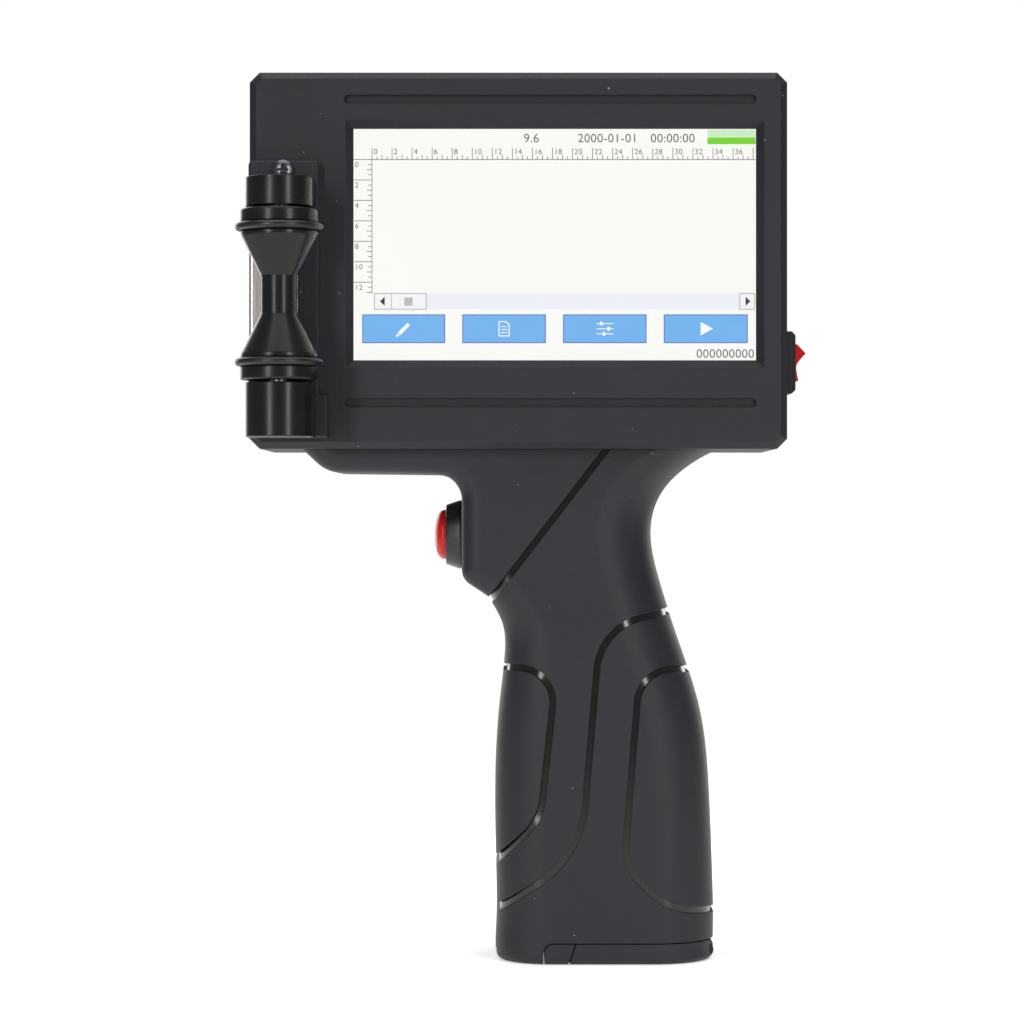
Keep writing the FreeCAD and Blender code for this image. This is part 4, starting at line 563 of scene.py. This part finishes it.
def merged_copy(node, name, finishes, body="housing", flat=True):
    """Copy of a CAD piece with equal points merged, in place of the piece. Flat triangles are joined, or
    each corner keeps the direction that it has on the piece, so that long triangles still look round."""
    source = nodes[node].data
    spots, merged = np.unique(np.round(read(source.vertices, "co", 3), 7), axis=0, return_inverse=True)
    faces = merged.reshape(-1)[read(source.loops, "vertex_index", kind=int)].reshape(-1, 3)
    whole = (faces != np.roll(faces, 1, axis=1)).all(axis=1)
    mesh = bpy.data.meshes.new(name)
    mesh.from_pydata(spots.tolist(), [], faces[whole].tolist())
    mesh.shade_smooth()
    if flat:
        work = bmesh.new()
        work.from_mesh(mesh)
        bmesh.ops.dissolve_limit(work, angle_limit=math.radians(0.2), verts=work.verts, edges=work.edges)
        work.to_mesh(mesh)
        work.free()
        mesh.set_sharp_from_angle(angle=math.radians(30))
    else:
        ways = read(source.corner_normals, "vector", 3).reshape(-1, 3, 3)[whole]
        mesh.normals_split_custom_set(ways.reshape(-1, 3).tolist())
    item = placed(name, mesh, finishes, body)
    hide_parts(node)
    return item


print("the front shell comes with", len(nodes["grip_front_shell"].data.vertices), "points before merging")

# %% [markdown]
# A face is polished when its corners lie within half a groove of a path and its middle lies well inside.
# The second test leaves out long faces of the skin whose corners all happen to touch a groove. The slack
# is in millimetres.

# %% Polished grooves
CORNER_SLACK, MIDDLE_SLACK = 0.03, 0.05


def nearest_groove(spots):
    """Way from each spot to the nearest groove's path."""
    return np.min([distance_to(rounded_run(*groove), spots) for groove in GROOVES.values()], axis=0)


for node in ("grip_front_shell", "grip_rear_shell"):
    finishes = [FINISH["case_plastic"], polished]
    shell = merged_copy(node, "grooved_" + node, finishes, flat=False)
    spots = read(shell.data.vertices, "co", 3)[:, [0, 2]] / MM
    owner = read(shell.data.loops, "vertex_index", kind=int).reshape(-1, 3)
    at_corners = nearest_groove(spots)[owner].max(axis=1) < GROOVE_HALF + CORNER_SLACK
    at_middle = nearest_groove(spots[owner].mean(axis=1)) < GROOVE_HALF - MIDDLE_SLACK
    shiny = (at_corners & at_middle).astype(int)
    shell.data.polygons.foreach_set("material_index", shiny)
    print(shell.name, int(shiny.sum()), "polished faces of", len(shiny))

# %% [markdown]
# ## Eased edges
# Nothing that is moulded or machined has a knife edge. Where the CAD piece is all flats and arcs, a copy
# with a small bevel shows a real line of light along its edges. On the big shells the finish rounds the
# edges instead, which costs no faces.


# %% Eased pieces
def eased(node, width, finish, body="housing"):
    """Merged copy with a two-step bevel on every edge sharper than forty degrees."""
    item = merged_copy(node, "eased_" + node, [FINISH[finish]], body)
    bevel = item.modifiers.new("eased", "BEVEL")
    bevel.width, bevel.segments, bevel.limit_method = width, 2, "ANGLE"
    bevel.angle_limit = math.radians(40)
    bevel.harden_normals = True
    print(item.name, round(width / MM, 2), "mm")
    return item


eased("upper_bearing_block", 0.00025, "roller_plastic")
eased("lower_bearing_block", 0.00025, "roller_plastic")
eased("switch_rocker", 0.0002, "signal_red", "rocker")

# %% [markdown]
# ## Screen
# The panel lights itself, so its picture is made of thin plates that glow, under a clear glass. A picture
# file would be the usual way, but plates stay sharp at any distance and need no file. The page has two
# rulers, a scroll bar, four buttons with plain signs, a battery mark and a row of counter figures.


# %% Glowing finishes and plates
def glowing(name, shade, falloff=0.01):
    """Even glow that is a little weaker in slow clouds, as a backlight is."""
    material, shader, place = new_finish(name, Roughness=0.4, Emission_Strength=1.03)
    shader.inputs["Base Color"].default_value = (0.01, 0.01, 0.01, 1)
    feed(shader, Emission_Color=between(noise(place, 25.0, 1.0), shaded(shade, 1 - 2 * falloff), shade))
    return material


glass_low, glass_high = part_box("screen_glass")
GLASS_RIM = 3.6 * MM
PAGE_LEFT, PAGE_TOP, PAGE_Y = glass_low.x + GLASS_RIM, glass_high.z - GLASS_RIM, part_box("lcd_panel")[0].y
PAGE_WIDE, PAGE_TALL, PLATE = 93.7, 53.9, 0.02  # in millimetres, as all numbers on the page


def raised(name, shapes, shade, layer):
    """Flat shapes on the page, each a list of (right, down) corners in millimetres, as thin plates whose
    fronts lie a layer's height in front of the panel."""
    points, faces = [], []
    for shape in shapes:
        flat = np.asarray(shape, float)
        count, start = len(flat), len(points)
        for depth in (layer, layer - PLATE):
            y = PAGE_Y - depth * MM
            points += [(PAGE_LEFT + u * MM, y, PAGE_TOP - v * MM) for u, v in flat]
        front = list(range(start, start + count))
        back = [number + count for number in front]
        faces += [front, back[::-1]]
        faces += [(a, b, b + count, a + count) for a, b in zip(front, front[1:] + front[:1])]
    return new_piece(name, points, faces, [shade])


def rect(left, top, right, bottom):
    """Corners of an upright rectangle."""
    return [(left, top), (right, top), (right, bottom), (left, bottom)]


print("page", PAGE_WIDE, "by", PAGE_TALL, "mm")

# %% [markdown]
# Places on the page are millimetres to the right and down from its upper left corner. Two rulers frame the
# empty drawing area: a tall mark for each whole step, shorter ones for halves and quarters.

# %% Page and rulers
PAGE_LAYER, MARK_LAYER, RIM_LAYER, BOX_LAYER, SIGN_LAYER = 0.06, 0.1, 0.13, 0.16, 0.19
SPARE = 0.6  # the page runs on under the window's edge
white = glowing("page_white", colour(252, 252, 248))
raised("screen_page", [rect(-SPARE, -SPARE, PAGE_WIDE + SPARE, PAGE_TALL + SPARE)], white, PAGE_LAYER)
ink = glowing("page_ink", colour(96, 90, 94))
AXIS_U, AXIS_V, PITCH_U, PITCH_V, FINE = 4.26, 7.0, 4.68, 4.77, 0.11
SCROLL_TOP, SCROLL_FOOT = 38.2, 41.9
marks = [rect(0, AXIS_V - FINE, PAGE_WIDE, AXIS_V + FINE / 2),
         rect(AXIS_U - FINE, AXIS_V, AXIS_U + FINE / 2, SCROLL_TOP)]
for step in range(77):
    tall = 2.75 if step % 4 == 0 else 1.15 if step % 2 == 0 else 0.75
    u = AXIS_U + step * PITCH_U / 4
    marks.append(rect(u - FINE, AXIS_V - tall, u + FINE / 2, AXIS_V))
for step in range(27):
    long = 4.2 if step % 4 == 0 else 1.3 if step % 2 == 0 else 0.9
    v = AXIS_V + step * PITCH_V / 4
    marks.append(rect(AXIS_U - long, v - FINE, AXIS_U, v + FINE / 2))
raised("ruler_marks", marks, ink, MARK_LAYER)
print("rulers with", len(marks), "marks")

# %% [markdown]
# The scroll bar is a cool pale strip with an arrow box at each end and a handle. A box is two plates, the
# larger one behind, so that its rim shows. The battery mark is two green bars in the upper corner.

# %% Scroll bar and battery
cool = glowing("page_cool", colour(240, 240, 249))
raised("scroll_bar", [rect(4.9, SCROLL_TOP, 93.5, SCROLL_FOOT)], cool, MARK_LAYER)
spans = [(4.9, 8.7), (8.84, 16.8), (90.15, 93.4)]
RIM, BOX_TOP, BOX_FOOT = 0.2, SCROLL_TOP + 0.1, SCROLL_FOOT - 0.1
boxes = [rect(left, BOX_TOP, right, BOX_FOOT) for left, right in spans]
rims = [rect(left - RIM, BOX_TOP - RIM, right + RIM, BOX_FOOT + RIM) for left, right in spans]
raised("scroll_rims", rims, glowing("page_grey", colour(172, 170, 178)), RIM_LAYER)
raised("scroll_boxes", boxes, glowing("page_pale", colour(246, 245, 247)), BOX_LAYER)
arrows = [[(7.2, 39.0), (7.2, 41.1), (6.1, 40.05)], [(91.4, 39.0), (92.5, 40.05), (91.4, 41.1)]]
raised("scroll_arrows", arrows, glowing("page_black", colour(28, 28, 30)), SIGN_LAYER)
handle = rect(11.8, 39.15, 13.7, 41.05)
raised("scroll_handle", [handle], glowing("page_mid", colour(186, 186, 190)), SIGN_LAYER)
BATTERY_U, BATTERY_V = 82.5, (0.0, 1.85, 3.4)
pale, green = glowing("charge_pale", colour(205, 238, 196)), glowing("charge_green", colour(118, 214, 24))
raised("battery_pale", [rect(BATTERY_U, BATTERY_V[0], PAGE_WIDE, BATTERY_V[1])], pale, MARK_LAYER)
raised("battery_full", [rect(BATTERY_U, BATTERY_V[1], PAGE_WIDE, BATTERY_V[2])], green, MARK_LAYER)
print("scroll bar with", len(boxes), "boxes")

# %% [markdown]
# The buttons carry plain signs instead of words: a pencil, a sheet, three sliders and a start arrow.

# %% Buttons
BUTTONS_U, BUTTON_TOP, BUTTON_FOOT = [(1.96, 21.3), (25.3, 44.8), (48.8, 68.3), (72.3, 91.9)], 43.1, 49.8
edge = glowing("button_edge", colour(66, 84, 160))
blue = glowing("button_blue", colour(112, 180, 242), 0.02)
backs = [rect(a, BUTTON_TOP, b, BUTTON_FOOT) for a, b in BUTTONS_U]
fronts = [rect(a + RIM, BUTTON_TOP + RIM, b - RIM, BUTTON_FOOT - RIM) for a, b in BUTTONS_U]
raised("button_rims", backs, edge, MARK_LAYER)
raised("button_faces", fronts, blue, RIM_LAYER)
middles = [(a + b) / 2 for a, b in BUTTONS_U]
centre_v = (BUTTON_TOP + BUTTON_FOOT) / 2


def moved(shape, right, down):
    """A shape about the origin, moved."""
    return [(right + u, down + v) for u, v in shape]


pencil = [[(-1.4, 0.9), (0.9, -1.4), (1.5, -0.8), (-0.8, 1.5)], [(-1.55, 1.05), (-0.95, 1.65), (-1.9, 2.0)]]
leaf = [rect(-1.3, -1.8, -1.05, 1.8), rect(1.05, -1.0, 1.3, 1.8), rect(-1.05, -1.8, 0.5, -1.55),
        rect(-1.05, 1.55, 1.05, 1.8), [(0.5, -1.8), (1.3, -1.0), (1.05, -0.85), (0.4, -1.5)],
        rect(-0.7, -0.6, 0.7, -0.4), rect(-0.7, 0.1, 0.7, 0.3), rect(-0.7, 0.8, 0.7, 1.0)]
sliders = [rect(-2.0, v - 0.1, 2.0, v + 0.1) for v in (-1.2, 0, 1.2)]
sliders += [rect(u - 0.3, v - 0.45, u + 0.3, v + 0.45) for u, v in ((-0.8, -1.2), (0.9, 0), (-0.2, 1.2))]
arrow = [[(-1.2, -1.6), (1.7, 0), (-1.2, 1.6)]]
groups = zip(middles, (pencil, leaf, sliders, arrow))
signs = [moved(shape, u, centre_v) for u, group in groups for shape in group]
raised("button_signs", signs, glowing("page_bright", colour(250, 252, 255)), BOX_LAYER)
print(len(signs), "sign plates")

# %% [markdown]
# Figures come from Blender's own letter form as curves. Each row is made a mesh first and moved to its
# place as an array, so that the object itself stays at the origin.


# %% Figures
LETTER_RISE = 0.73  # a capital's height as a share of the letter size


def figures(name, rows, shade, layer):
    """Rows of (text, right, down, tall) as thin plates: the letters become a mesh, then they are placed."""
    points, faces = [], []
    for text, right, down, tall in rows:
        letters = bpy.data.curves.new("letters", "FONT")
        letters.body, letters.size, letters.extrude = text, tall * MM / LETTER_RISE, PLATE * MM / 2
        letters.space_character = 1.05
        holder = bpy.data.objects.new("letters", letters)
        bpy.context.scene.collection.objects.link(holder)
        graph = bpy.context.evaluated_depsgraph_get()
        mesh = bpy.data.meshes.new_from_object(holder.evaluated_get(graph))
        spots = read(mesh.vertices, "co", 3)
        start = len(points)
        points += list(np.stack([PAGE_LEFT + right * MM + spots[:, 0], PAGE_Y - layer * MM - spots[:, 2],
                                 PAGE_TOP - down * MM + spots[:, 1]], axis=1))
        faces += [[start + v for v in face.vertices] for face in mesh.polygons]
        bpy.data.objects.remove(holder)
        bpy.data.curves.remove(letters)
        bpy.data.meshes.remove(mesh)
    return new_piece(name, points, faces, [shade])


rows = [(str(2 * step), AXIS_U + step * PITCH_U + 0.35, 5.75, 1.35) for step in range(19)]
rows += [(str(2 * step), 0.25, AXIS_V + step * PITCH_V + 1.75, 1.3) for step in range(7)]
rows += [("9.6", 39.6, 2.95, 2.1), ("2000-01-01", 52.2, 2.95, 2.1), ("00:00:00", 69.2, 2.95, 2.1)]
rows += [("000000000", 79.9, 53.2, 2.1)]
figures("page_figures", rows, ink, MARK_LAYER)
print(len(rows), "rows of figures")

# %% [markdown]
# The CAD glass fills the whole gap in front of the panel. The visual one is thinner and has ground edges,
# so that the glowing plates have room behind it.

# %% Touch glass
GROUND, GLASS_THICK, HALF_TALL_GLASS = 0.0002, 0.0008, 0.03
DRAWN_IN = 1 - GROUND / HALF_TALL_GLASS
corners = soft_corners([(glass_low.x, glass_low.z), (glass_high.x, glass_low.z),
                        (glass_high.x, glass_high.z), (glass_low.x, glass_high.z)], 0.0015, 7)
middle = corners.mean(axis=0)
# each layer is (depth, share of the outline), from the middle of the front over both edges to the back's
front = [(0, 0), (0, DRAWN_IN), (GROUND, 1)]
layers = front + [(GLASS_THICK - depth, share) for depth, share in reversed(front)]
depth, share = np.array(layers, float).T[:, :, None]
outline = middle + (corners - middle) * share[..., None]
points = np.stack([outline[..., 0], glass_low.y + depth + 0 * outline[..., 0], outline[..., 1]], axis=-1)
glass = new_piece("touch_glass", points.reshape(-1, 3), grid_faces(*points.shape[:2]),
                  [FINISH["screen_glass"]], sharp=12)
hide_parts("screen_glass")
print("glass", [round(v / MM, 1) for v in glass_high - glass_low], "mm in CAD")

# %% [markdown]
# ## Studio
# The printer stands on a pale floor that fades into an even white room. A real studio uses a long sheet of
# paper that curves up behind the object. A disc that turns clear towards its edge does the same from every
# side, and it leaves no line where the floor would end.

# %% Floor
SUNK = 0.00005  # the floor lies a hair under the feet
angle = np.linspace(0, 2 * np.pi, 128, endpoint=False)
radii = np.array([0.0, 0.1, 0.3, 0.8])[:, None]
spots = np.stack([radii * np.cos(angle), radii * np.sin(angle), 0 * radii * angle - SUNK], axis=-1)
floor_finish, shader, place = new_finish("studio_floor", Specular_IOR_Level=0.2, Emission_Strength=0.45)
shader.inputs["Emission Color"].default_value = (1, 1, 1, 1)
reach = place.add("ShaderNodeVectorMath", {"operation": "LENGTH"}, {0: place}, "Value")
fade = place.add("ShaderNodeMapRange", {"interpolation_type": "SMOOTHSTEP"},
                 {"Value": reach, "From Min": 0.2, "From Max": 0.75, "To Min": 1.0, "To Max": 0.0})
base = between(noise(place, 3.0), (0.90, 0.90, 0.90, 1), (0.93, 0.93, 0.93, 1))
feed(shader, Base_Color=base, Roughness=noise(place, 8.0) * 0.1 + 0.75, Alpha=fade)
floor_mesh = bpy.data.meshes.new("studio_floor")
floor_mesh.from_pydata(spots.reshape(-1, 3).tolist(), [], grid_faces(*spots.shape[:2]).tolist())
floor_mesh.materials.append(floor_finish)
floor = bpy.data.objects.new("studio_floor", floor_mesh)
bpy.context.scene.collection.objects.link(floor)
print("floor of", len(floor_mesh.polygons), "faces")

# %% [markdown]
# The world is one Background node. The Light Path node tells a camera ray from a light ray. The camera
# sees a white room, while the light that the room gives is weaker, so that black plastic stays black.

# %% World
world = bpy.data.worlds.new("studio_world")
bpy.context.scene.world = world
world.use_nodes = True
sky = Wire(world.node_tree)
seen = sky.add("ShaderNodeLightPath", out="Is Camera Ray")
background = world.node_tree.nodes["Background"]
background.inputs["Color"].default_value = (1, 1, 1, 1)
world.node_tree.links.new((seen * 0.77 + 0.23).socket, background.inputs["Strength"])
print("world with", len(world.node_tree.nodes), "nodes")

# %% [markdown]
# A softbox is an area lamp. It is placed by an angle, a distance and a height round the printer, and then
# turned to face the middle of the printer. Two tall ones at the front draw the soft lines down the roller,
# a wide one above lights the floor and the tops, and two at the back keep the far sides readable. The
# camera doesn't see them, but they do show in glossy plastic.


# %% Softboxes
AIM = Vector((0, 0, 0.12))


def softbox(name, azimuth, height, reach, size, power):
    """Rectangular lamp on a circle round the printer, turned to look at it."""
    lamp = bpy.data.lights.new(name, "AREA")
    lamp.shape, lamp.energy = "RECTANGLE", power
    lamp.size, lamp.size_y = size
    item = bpy.data.objects.new(name, lamp)
    turn = math.radians(azimuth)
    item.location = (AIM.x + reach * math.sin(turn), AIM.y - reach * math.cos(turn), height)
    item.rotation_euler = (item.location - AIM).to_track_quat("Z", "Y").to_euler()
    item.visible_camera = False
    bpy.context.scene.collection.objects.link(item)


TALL_BOX = {"height": 0.25, "reach": 1.1, "size": (0.13, 1.1), "power": 5}
BACK_BOX = {"height": 0.5, "reach": 1.2, "size": (0.5, 1.2), "power": 5}
softbox("front_left", -31, **TALL_BOX)
softbox("front_right", 31, **TALL_BOX)
softbox("overhead", 0, height=1.5, reach=0.2, size=(1.6, 1.6), power=15)
softbox("back_left", -150, **BACK_BOX)
softbox("back_right", 150, **BACK_BOX)
bpy.context.scene.view_settings.view_transform = "Standard"
print("five softboxes")

# %% [markdown]
# ## Last measures
# A visual model that has grown past its CAD box would no longer match the part's stated size.
